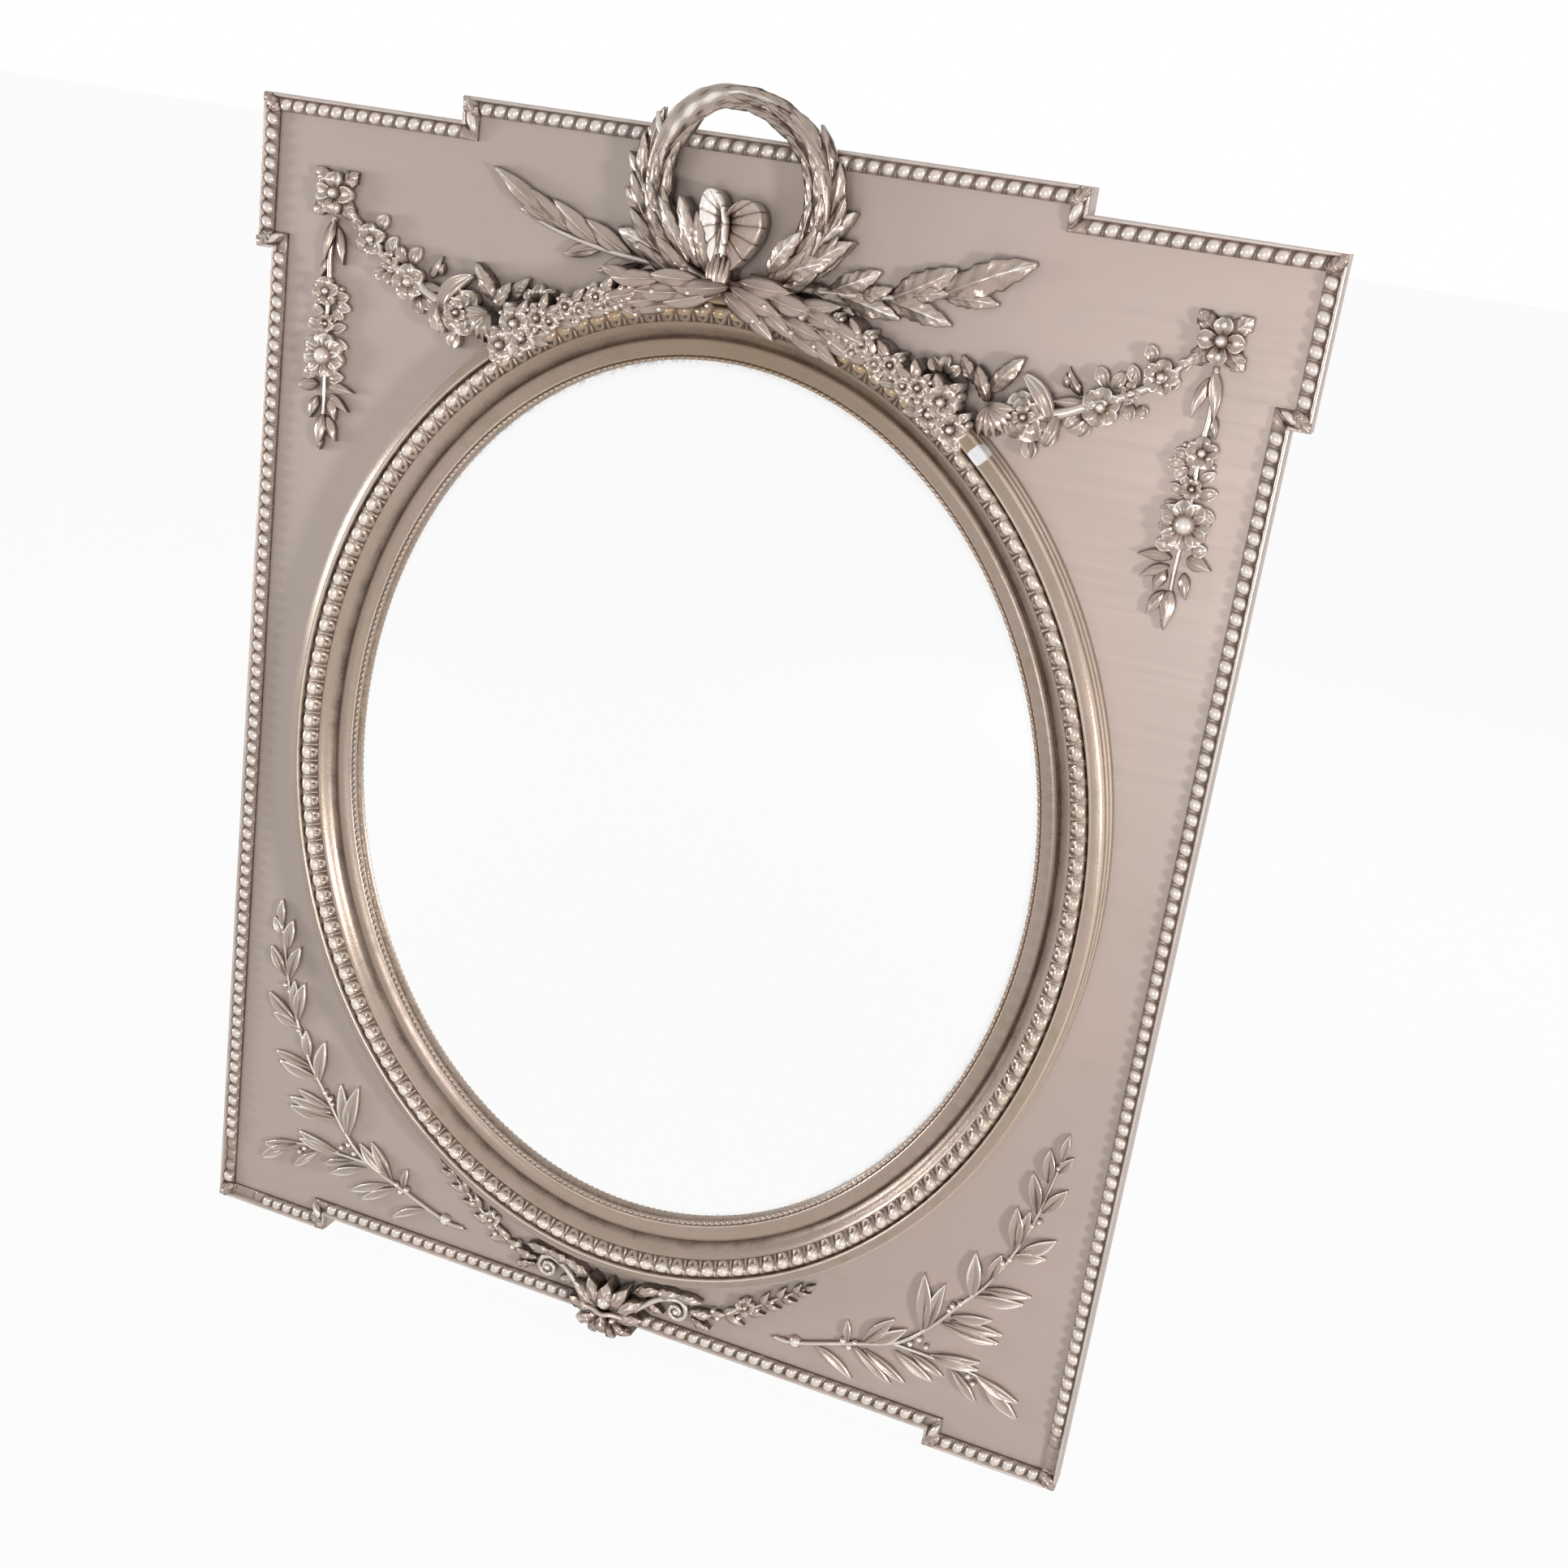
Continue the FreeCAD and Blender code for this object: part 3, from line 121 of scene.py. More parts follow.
def grid_quads(rows: int, cols: int, wrap_rows: bool = False) -> Array:
    """Faces of a grid whose columns join up: (i, j), (i+1, j), (i+1, j+1), (i, j+1).

    Args:
        rows: rings in the grid.
        cols: points in a ring.
        wrap_rows: whether the last ring joins the first.

    Returns:
        Corner numbers, one row of four to a face.
    """
    i, j = np.meshgrid(np.arange(rows if wrap_rows else rows - 1), np.arange(cols), indexing="ij")
    below, right = (i + 1) % rows, (j + 1) % cols
    return np.stack([i * cols + j, below * cols + j, below * cols + right, i * cols + right], axis=-1).reshape(-1, 4)


def capped(points: Array, tones: Array) -> Shell:
    """Batches of rings closed by a fan at each end, whose pole is the mean of the end ring.

    Args:
        points: array of shape (batch, rings, ring points, 3).
        tones: array of shape (batch, rings, ring points).

    Returns:
        The closed shells as one.
    """
    batch, rows, cols, _ = points.shape
    poles = points[:, (0, -1)].mean(axis=2)
    pole_tones = tones[:, (0, -1)].mean(axis=2)
    size = rows * cols + 2
    starts = np.arange(batch)[:, None, None] * size
    ring = np.arange(cols)
    ahead = (ring + 1) % cols
    first = np.stack([np.full(cols, rows * cols), ring, ahead], axis=-1)
    last = np.stack([np.full(cols, rows * cols + 1), (rows - 1) * cols + ahead, (rows - 1) * cols + ring], axis=-1)
    return Shell(
        np.concatenate([points.reshape(batch, -1, 3), poles], axis=1).reshape(-1, 3),
        np.concatenate([tones.reshape(batch, -1), pole_tones], axis=1).ravel(),
        (starts + grid_quads(rows, cols)).reshape(-1, 4),
        (starts + np.concatenate([first, last])).reshape(-1, 3),
    )


def ringed(points: Array, tones: Array) -> Shell:
    """A grid that closes both ways, such as a moulding round an oval.

    Args:
        points: array of shape (rings, ring points, 3).
        tones: array of shape (rings, ring points).

    Returns:
        The closed shell.
    """
    rows, cols, _ = points.shape
    return Shell(points.reshape(-1, 3), tones.ravel(), grid_quads(rows, cols, True), np.zeros((0, 3), int))


def eased(path: Rows, count: int) -> Array:
    """Points along a smooth line through the path's points, by cubic interpolation between them.

    Each stretch blends the four points round it with the Catmull-Rom weights.

    Args:
        path: rows of numbers, such as (x, z, rise).
        count: how many points to give back.

    Returns:
        An array of count rows.
    """
    knots = np.array(path, float)
    knots = np.concatenate([2 * knots[:1] - knots[1:2], knots, 2 * knots[-1:] - knots[-2:-1]])
    place = np.linspace(0, len(path) - 1, count)
    cell = np.minimum(place.astype(int), len(path) - 2)
    u = (place - cell)[:, None]
    a, b, c, d = (knots[cell + k] for k in range(4))
    return 0.5 * (2 * b + (c - a) * u + (2 * a - 5 * b + 4 * c - d) * u**2 + (3 * b - a - 3 * c + d) * u**3)


@dataclass(frozen=True)
class Bench:
    """Where the panel lies in the shared frame, read from its CAD node."""

    face: float
    feet: float

    @classmethod
    def of_panel(cls) -> "Bench":
        """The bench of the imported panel: its front face and the line under its feet."""
        low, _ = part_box("field_panel")
        return cls(low.y, low.z)

    def lift(self, points: Array) -> Array:
        """Plan millimetres (x, z, rise) as metres in the shared frame: (x, face - rise, feet + z)."""
        x, z, rise = points.T * MM
        return np.stack([x, self.face - rise, self.feet + z], axis=1)


# ------------------------------------------------------------------- carving


@dataclass(frozen=True)
class LeafCut:
    """How one kind of leaf is cut. Shares are of its half width unless they say otherwise."""

    peak: float  # share of the length at which it is widest
    fullness: float  # under 1 is a blunt outline, over 1 a slim one
    stalk: float = 0.14
    teeth: int = 0
    tooth: float = 0.0
    rib: float = 0.18
    veins: float = 0.0
    vein: float = 0.0
    cup: float = -0.25  # how far the edges stand over the middle; under 0 they droop
    rim: float = 0.0  # a raised edge
    wave: float = 0.0


class LeafForm(Enum):
    """The kinds of leaf in the carving."""

    LAUREL = LeafCut(0.46, 0.62, teeth=5, tooth=0.22, rib=0.3, veins=5, vein=0.13, cup=-0.24, wave=0.24)
    BAY = LeafCut(0.5, 0.85, rib=0.46, cup=-0.42, wave=0.2)
    WREATH = LeafCut(0.42, 0.8, teeth=3, tooth=0.12, rib=0.5, veins=3, vein=0.16, cup=-0.4, wave=0.08)
    OLIVE = LeafCut(0.52, 0.95, stalk=0.1, rib=-0.2, cup=0.3)
    LANCE = LeafCut(0.4, 1.15, rib=0.3, cup=-0.35)
    PETAL = LeafCut(0.66, 0.5, stalk=0.34, rib=-0.1, cup=0.36, rim=0.08)
    LOOP = LeafCut(0.55, 0.62, stalk=0.2, rib=0.12, cup=0.2, rim=0.3)
    ACANTHUS = LeafCut(0.52, 0.7, teeth=3, tooth=0.3, rib=0.3, veins=3, vein=0.24, cup=-0.3, wave=0.2)


@dataclass(frozen=True)
class Lie:
    """How a leaf lies, in millimetres in front of the panel: at its root, middle and tip."""

    root: float
    middle: float
    tip: float
    thick: float = 40.0
    ground: float = -0.4


@dataclass
class Carver:
    """Collects the shells of one carved piece."""

    bench: Bench
    seed: int = 1
    # light: painted light added to the leaves' tone, painted shade when below 0
    light: float = 0.0  # added to the tone of the leaves that follow
    shells: list[Shell] = field(default_factory=list)
    chance: np.random.Generator = field(init=False)

    def __post_init__(self) -> None:
        """Starts this piece's own row of small differences."""
        self.chance = np.random.default_rng(self.seed)

    def leaves(self, form: LeafForm, rows: Rows, lie: Lie, side: int = 1) -> None:
        """Carves leaves, each a closed shell whose middle line is an arc from its root to its tip.

        Half the width is W(s) = stalk + (1 - stalk) sin(pi s^p)^q with teeth cut in, and the top rises
        from the arc's height by rib, veins, cup and wave, all functions of the share s along the leaf
        and the share t across it. The underside lies thick below the edges, and not below the ground.

        Args:
            form: the kind of leaf.
            rows: (x, z, tip x, tip z, width, bend in degrees, lift in mm) in plan units, the last two
                optional.
            lie: the heights of root, middle and tip.
            side: -1 mirrors the rows to the left.
        """
        cut = form.value
        table = np.array([tuple(row) + (0.0,) * (7 - len(row)) for row in rows], float)
        table[:, (0, 2)] *= side
        table[:, :5] *= PLAN
        x, z, tip_x, tip_z, width, bend, lift = (table[:, k, None, None] for k in range(7))
        own = self.chance.uniform(-1, 1, (len(rows), 3))[:, :, None, None].transpose(1, 0, 2, 3)
        arc = np.radians(bend) * side
        arc = np.where(np.abs(arc) < 0.01, 0.01, arc)
        chord = np.hypot(tip_x - x, tip_z - z)
        length = chord * (arc / 2) / np.sin(arc / 2)
        heading = np.arctan2(tip_z - z, tip_x - x) - arc / 2
        s = np.linspace(0, 1, 1 + 4 * cut.teeth if cut.teeth > 3 else 14)[None, :, None]
        t = np.array([-1, -0.86, -0.6, -0.28, -0.1, 0, 0.1, 0.28, 0.6, 0.86, 1])[None, None, :]
        swell = np.sin(np.pi * np.clip(s, 0, 0.985) ** (math.log(0.5) / math.log(cut.peak))) ** cut.fullness
        half = width / 2 * (cut.stalk * (1 - s) + (1 - 0.5 * cut.stalk) * swell)
        half = half * (1 - cut.tooth * ((cut.teeth * s) % 1 if cut.teeth else 0 * s))
        spine = lift + lie.root * (1 - s) * (1 - 2 * s) + 4 * lie.middle * s * (1 - s) + lie.tip * s * (2 * s - 1)
        across = np.abs(t)
        veins = np.cos(2 * np.pi * (cut.veins * s - 0.9 * across)) * 4 * across * (1 - across)
        rib = np.exp(-((t / 0.13) ** 2)) * (1 - 0.7 * s)
        edge = np.clip((across - 0.7) / 0.3, 0, 1)
        flutter = np.sin(2 * np.pi * (1.7 * s + 0.5 * own[0])) * t * across
        body = cut.cup * t**2 + cut.rib * rib + cut.vein * veins + cut.rim * edge * (1 - edge) * 4
        top = spine + half * (body + cut.wave * flutter + 0.12 * own[1] * t)
        # Tone paints light and shade: a highlight on the rib and on the rims of cupped leaves, shade in the veins,
        # along the edges of drooping leaves and towards the root, and black on the underside.
        tones = 0.5 + 0.5 * rib * np.sign(cut.rib + 1e-6) + 1.3 * cut.vein * veins + 0 * s * x
        tones = tones + (0.55 if cut.cup > 0 else -0.42) * edge
        tones = np.clip(tones * (0.4 + 0.75 * s) + 0.12 * own[2] + self.light, 0.02, 1)
        low = np.maximum(top[:, :, (0, -1)].min(axis=2, keepdims=True) - lie.thick, lie.ground)
        low = np.minimum(low, top.min(axis=2, keepdims=True) - 0.3)
        t_all = np.concatenate([t, np.array([0.8, 0, -0.8])[None, None, :]], axis=2)
        tall = np.concatenate([top, np.repeat(low, 3, axis=2)], axis=2)
        tones = np.concatenate([tones, np.zeros_like(np.repeat(low, 3, axis=2))], axis=2)
        turned = heading + arc * s
        along_x = x + length * (np.sin(turned) - np.sin(heading)) / arc
        along_z = z - length * (np.cos(turned) - np.cos(heading)) / arc
        px = along_x - np.sin(turned) * half * t_all
        pz = along_z + np.cos(turned) * half * t_all
        self.shells.append(capped(np.stack([px, pz, tall], axis=-1), tones))

    def buds(self, rows: Rows, side: int = 1, lobes: int = 0) -> None:
        """Carves round buds and berries: domes r(a) = R sin(a), height = low + (high - low) cos(a).

        Args:
            rows: (x, z, radius, low, high), the first three in plan units and the rest in mm.
            side: -1 mirrors the rows to the left.
            lobes: flutes round the dome.
        """
        table = np.array(rows, float)
        table[:, 0] *= side
        table[:, :3] *= PLAN
        x, z, radius, low, high = (table[:, k, None, None] for k in range(5))
        down = np.radians([14, 38, 62, 82, 96, 96])[None, :, None]
        turn = np.linspace(0, 2 * np.pi, 12, endpoint=False)[None, None, :]
        flute = 1 + (0.1 * np.cos(lobes * turn) if lobes else 0 * turn)
        reach = radius * np.sin(np.minimum(down, np.pi / 2)) * flute
        rise = low + (high - low) * np.cos(np.minimum(down, np.pi / 2)) + 0 * turn
        rise[:, -1] = low[:, :, 0] - 1.0
        # Tone paints a highlight on the top of each dome and shade down its sides.
        tones = np.clip(0.15 + 0.7 * np.cos(down) + 0 * turn + 0 * x, 0.05, 1)
        points = np.stack([x + reach * np.cos(turn), z + reach * np.sin(turn), rise], axis=-1)
        self.shells.append(capped(points, tones))

    def stem(self, path: Rows, thin: float, thick: float, side: int = 1, twist: float = 0.0) -> None:
        """Carves a stem: an ellipse carried along the smooth line through the path's points.

        Args:
            path: (x, z, rise), the first two in plan units.
            thin: half thickness at the end, in mm.
            thick: half thickness at the start, in mm.
            side: -1 mirrors the path to the left.
            twist: share by which a spiral flute cuts in.
        """
        line = eased(path, 8 * len(path))
        line[:, 0] *= side
        line[:, :2] *= PLAN
        share = np.linspace(0, 1, len(line))[:, None]
        half = thick + (thin - thick) * share
        run = np.gradient(line, axis=0)
        run /= np.linalg.norm(run, axis=1, keepdims=True)
        left = np.stack([-run[:, 1], run[:, 0], 0 * run[:, 0]], axis=1)
        left /= np.maximum(np.linalg.norm(left, axis=1, keepdims=True), 1e-6)
        up = np.cross(run, left)
        turn = -np.linspace(0, 2 * np.pi, 10, endpoint=False)[None, :]
        cut = 1 - twist * (0.5 + 0.5 * np.cos(3 * turn + 40 * share))
        reach = (half * cut * np.cos(turn))[:, :, None]
        height = (half * cut * np.sin(turn))[:, :, None]
        points = line[:, None] + reach * left[:, None] + height * up[:, None]
        # Tone paints the upper side of the stem light, and its underside and flutes in shade.
        tones = np.clip(0.35 + 0.4 * height[:, :, 0] / half - 0.5 * (1 - cut), 0.05, 1)
        self.shells.append(capped(points[None], tones[None]))

    def blooms(self, rows: Rows, side: int = 1, form: LeafForm = LeafForm.PETAL) -> None:
        """Carves flowers: a ring of cupped petals round a bud.

        Args:
            rows: (x, z, radius, petals, turn in degrees, lift in mm, height in mm).
            side: -1 mirrors the rows to the left.
            form: the kind of petal.
        """
        petals = []
        hearts = []
        for x, z, radius, count, turn, lift, height in rows:
            for k in range(int(count)):
                angle = math.radians(turn + 360 * k / count)
                out = (math.cos(angle), math.sin(angle))
                wide = min(2.25 * radius * math.sin(math.pi / count), radius * 0.95)
                start = (x + radius * 0.18 * out[0], z + radius * 0.18 * out[1])
                end = (x + radius * out[0], z + radius * out[1])
                petals.append((*start, *end, wide, 0, lift + 0.25 * (k % 2)))
            hearts.append((x, z, radius * 0.32, lift + 0.25 * height, lift + height))
        tall = sum(row[6] for row in rows) / len(rows)
        self.leaves(form, petals, Lie(tall * 0.35, tall * 0.78, tall * 0.55), side)
        self.buds(hearts, side, 5)

    def finish(self, name: str, slot: str, *nodes: str) -> bpy.types.Object:
        """Makes the piece's object, which stands for its CAD nodes.

        Args:
            name: the piece's name.
            slot: its material slot.
            nodes: the CAD nodes it replaces.

        Returns:
            The object, which rides on the root body.
        """
        return made(name, Shell.joined(self.shells), self.bench, slot, nodes)


def made(name: str, shell: Shell, bench: Bench, slot: str, nodes: Iterable[str]) -> bpy.types.Object:
    """Puts a shell into a mesh object with smooth faces and its tone attribute.

    Args:
        name: the piece's name.
        shell: its surface.
        bench: where the panel lies.
        slot: the record's material slot.
        nodes: the CAD nodes it replaces.

    Returns:
        The object.
    """
    mesh = bpy.data.meshes.new(name)
    mesh.vertices.add(len(shell.points))
    mesh.vertices.foreach_set("co", bench.lift(shell.points).astype(np.float32).ravel())
    mesh.loops.add(shell.quads.size + shell.tris.size)
    mesh.loops.foreach_set("vertex_index", np.concatenate([shell.quads.ravel(), shell.tris.ravel()]).astype(np.int32))
    starts = np.concatenate(
        [np.arange(len(shell.quads)) * 4, shell.quads.size + np.arange(len(shell.tris)) * 3]
    ).astype(np.int32)
    mesh.polygons.add(len(starts))
    mesh.polygons.foreach_set("loop_start", starts)
    mesh.polygons.foreach_set("use_smooth", np.ones(len(starts), bool))
    tone = mesh.attributes.new("tone", "FLOAT", "POINT")
    tone.data.foreach_set("value", shell.tones.astype(np.float32))
    mesh.update(calc_edges=True)
    mesh.validate()
    piece = bpy.data.objects.new(name, mesh)
    bpy.context.scene.collection.objects.link(piece)
    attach(piece, "root")
    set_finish(piece, slot)
    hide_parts(*nodes)
    LOG.info("%s: %d faces", name, len(starts))
    return piece


# -------------------------------------------------------------------- border


@dataclass
class EggBorder:
    """The egg-and-dart border round the panel, in sixteen mitred lengths. Sizes are in mm."""

    bench: Bench
    ear_width: float = 880
    main_width: float = 852
    top_width: float = 510
    recess_width: float = 612
    ear_top: float = 1032
    ear_under: float = 908
    top_rise: float = 19
    foot_drop: float = 15
    wide: float = 14.0
    rise: float = 7.6
    ground: float = 2.2
    fillet: float = 3.2
    fillet_rise: float = 6.3
    pitch: float = 12.0
    # the runs in the order of their corners
    names: tuple[str, ...] = (
        "foot_step_right", "foot_right", "side_right", "ear_return_right", "ear_side_right", "ear_top_right",
        "top_step_right", "top_centre", "top_step_left", "ear_top_left", "ear_side_left", "ear_return_left",
        "side_left", "foot_left", "foot_step_left", "bottom_centre",
    )  # fmt: skip
    # chipped and worn eggs, by run and number, with the share of their height that is left
    wear_and_shade: dict[str, dict[int, float]] = field(
        default_factory=lambda: {
            "side_right": {0: 0.12, 1: 0.1, 2: 0.35, 3: 0.75},
            "foot_left": {8: 0.1, 9: 0.12, 10: 0.4},
            "side_left": {70: 0.5, 71: 0.35, 72: 0.6},
            "top_centre": {20: 0.8},
        }
    )

    def corners(self) -> Array:
        """The outline's corners (x, z), anticlockwise from the lower right of the bottom recess."""
        right = [
            (self.recess_width, self.foot_drop),
            (self.recess_width, 0),
            (self.main_width, 0),
            (self.main_width, self.ear_under),
            (self.ear_width, self.ear_under),
            (self.ear_width, self.ear_top),
            (self.top_width, self.ear_top),
            (self.top_width, self.ear_top + self.top_rise),
        ]
        half = np.array(right, float) * (0.5, 1)
        return np.concatenate([half, half[::-1] * (-1, 1)])

    def length(self, name: str, start: Array, end: Array, before: int, after: int) -> Shell:
        """One length of border as a grid: rings of the section, one after another along the run.

        The section is a fillet at the outer edge and a flat ground inside it. Over the ground stands an
        egg, crown sqrt(1 - |a/0.455|^2.8 - |b|^3), for each pitch a of -0.5 to 0.5 along and b of -1 to 1
        across, and between two eggs a dart, a ridge at a = 0.5 that grows with b. Near a corner the rings
        lean by as much as they lie in from the edge, which mitres the run. Elsewhere they swirl with b.

        Args:
            name: the run's name.
            start: its first corner.
            end: its last corner.
            before: 1 if the first corner points outwards, -1 if inwards.
            after: the same for the last corner.

        Returns:
            The closed length.
        """
        run = end - start
        span = float(np.hypot(*run))
        run = run / span
        inward = np.array([-run[1], run[0]])
        short = span < 2 * self.wide
        first = self.wide + 1 if before > 0 and not short else 1.0
        last = span - self.wide - 1 if after > 0 and not short else span - 1.0
        count = max(int(round((last - first) / self.pitch)), 1)
        step = np.array([-0.5, -0.46, -0.42, -0.34, -0.18, 0, 0.18, 0.34, 0.42, 0.46])
        eggs = np.repeat(np.arange(count), len(step))
        plain = [-0.5] * END_RINGS
        a = np.concatenate([plain, np.tile(step, count), plain])
        pitch = (last - first) / count
        within = first + (eggs + 0.5 + np.tile(step, count)) * pitch
        u = np.concatenate([[0, first * 0.5, first * 0.9], within, [last, (last + span) / 2, span]])
        full = np.ones(len(u))
        for number, share in self.wear_and_shade.get(name, {}).items():
            full[END_RINGS:-END_RINGS][eggs == number % count] = share
        full[:END_RINGS], full[-END_RINGS:] = 0.55, 0.55
        b = np.array([-1, -0.9, -0.66, -0.3, 0.1, 0.5, 0.8, 0.94, 1.0])
        inset = np.concatenate([[0, 0.3, 0.8, self.fillet - 0.5, self.fillet], self.band(b), [self.wide]])
        base = np.concatenate(
            [[0, self.fillet_rise - 1.2, self.fillet_rise, self.fillet_rise, self.ground], b * 0 + self.ground, [0]]
        )
        egg = np.clip(1 - np.abs(a[:, None] / 0.455) ** 2.8 - np.abs(b[None] / 1.01) ** 3.0, 0, 1) ** 0.5
        dart = np.clip(1 - np.abs(np.abs(a[:, None]) - 0.5) / 0.05, 0, 1) * np.clip(0.42 + 0.3 * b[None], 0, 1)
        dart = dart * (1 - b[None] ** 6)
        crown = (self.rise - self.ground) * np.maximum(egg, dart) * full[:, None]
        rise = np.repeat(base[None], len(u), axis=0)
        rise[:, 5:-1] += crown
        # Tone paints light and shade: highlights on the fillet and on the eggs' crowns and darts, shade on the ground
        # between the eggs and on the back; a broken egg keeps a middle tone.
        tones = np.repeat(np.array([0.25, 0.5, 0.8, 0.7, 0.2] + [0.12] * len(b) + [0.0])[None], len(u), axis=0)
        tones[:, 5:-1] += np.clip(egg * 1.05 - 0.12, 0, 0.95) * full[:, None] + 0.45 * dart
        tones[:, 5:-1] = np.maximum(tones[:, 5:-1], 0.35 * (1 - full[:, None]))
        lean = before * 1.0 if short else 0.0
        near = np.clip(1 - u / first, 0, 1)
        far = np.clip((u - last) / max(span - last, 1e-6), 0, 1)
        slant = lean + (before - lean) * near + (-after - lean) * far
        swirl = 0.8 * np.sin(np.pi * (np.clip((inset - self.fillet) / (self.wide - self.fillet), 0, 1) - 0.5))
        along = u[:, None] + slant[:, None] * inset[None] + swirl[None] * (1 - near - far)[:, None] * (not short)
        spot = start[None, None] + along[..., None] * run + inset[None, :, None] * inward
        return capped(np.concatenate([spot, rise[..., None]], axis=-1)[None], np.clip(tones, 0, 1)[None])

    def band(self, b: Array) -> Array:
        """How far in the eggs' band lies at b of -1 to 1 across it."""
        return self.fillet + 0.1 + (self.wide - self.fillet - 0.2) * (b + 1) / 2

    def corner_leaf(self, carver: Carver, corner: Array, inward: Array, grow: float) -> None:
        """Lays a folded leaf over the mitre, from just inside it out to the corner."""
        root, tip = (corner + inward * self.wide * 1.02) / PLAN, (corner + inward * 0.8) / PLAN
        rows = [(*root, *tip, 15.5 * grow, 0, 0), (*root, *((root + tip) / 2), 12 * grow, 0, 0.6)]
        carver.leaves(LeafForm.ACANTHUS, rows, Lie(3.2, 7.6, 6.2))

    def build(self) -> None:
        """Makes the sixteen lengths, with a leaf on each outward corner."""
        corners = self.corners()
        back = corners - np.roll(corners, 1, axis=0)
        ahead = np.roll(corners, -1, axis=0) - corners
        turns = np.sign(back[:, 0] * ahead[:, 1] - back[:, 1] * ahead[:, 0]).astype(int)
        for i, name in enumerate(self.names):
            j = (i + 1) % len(corners)
            carver = Carver(self.bench, 20 + i)
            carver.shells.append(self.length(name, corners[i], corners[j], turns[i], turns[j]))
            if turns[i] > 0:
                into = ahead[i] / np.hypot(*ahead[i]) - back[i] / np.hypot(*back[i])
                self.corner_leaf(carver, corners[i], into, 1.0)
            carver.finish(f"{name}_egg_border", "gilt_border", f"border_{name}")


# ---------------------------------------------------------------- oval frame


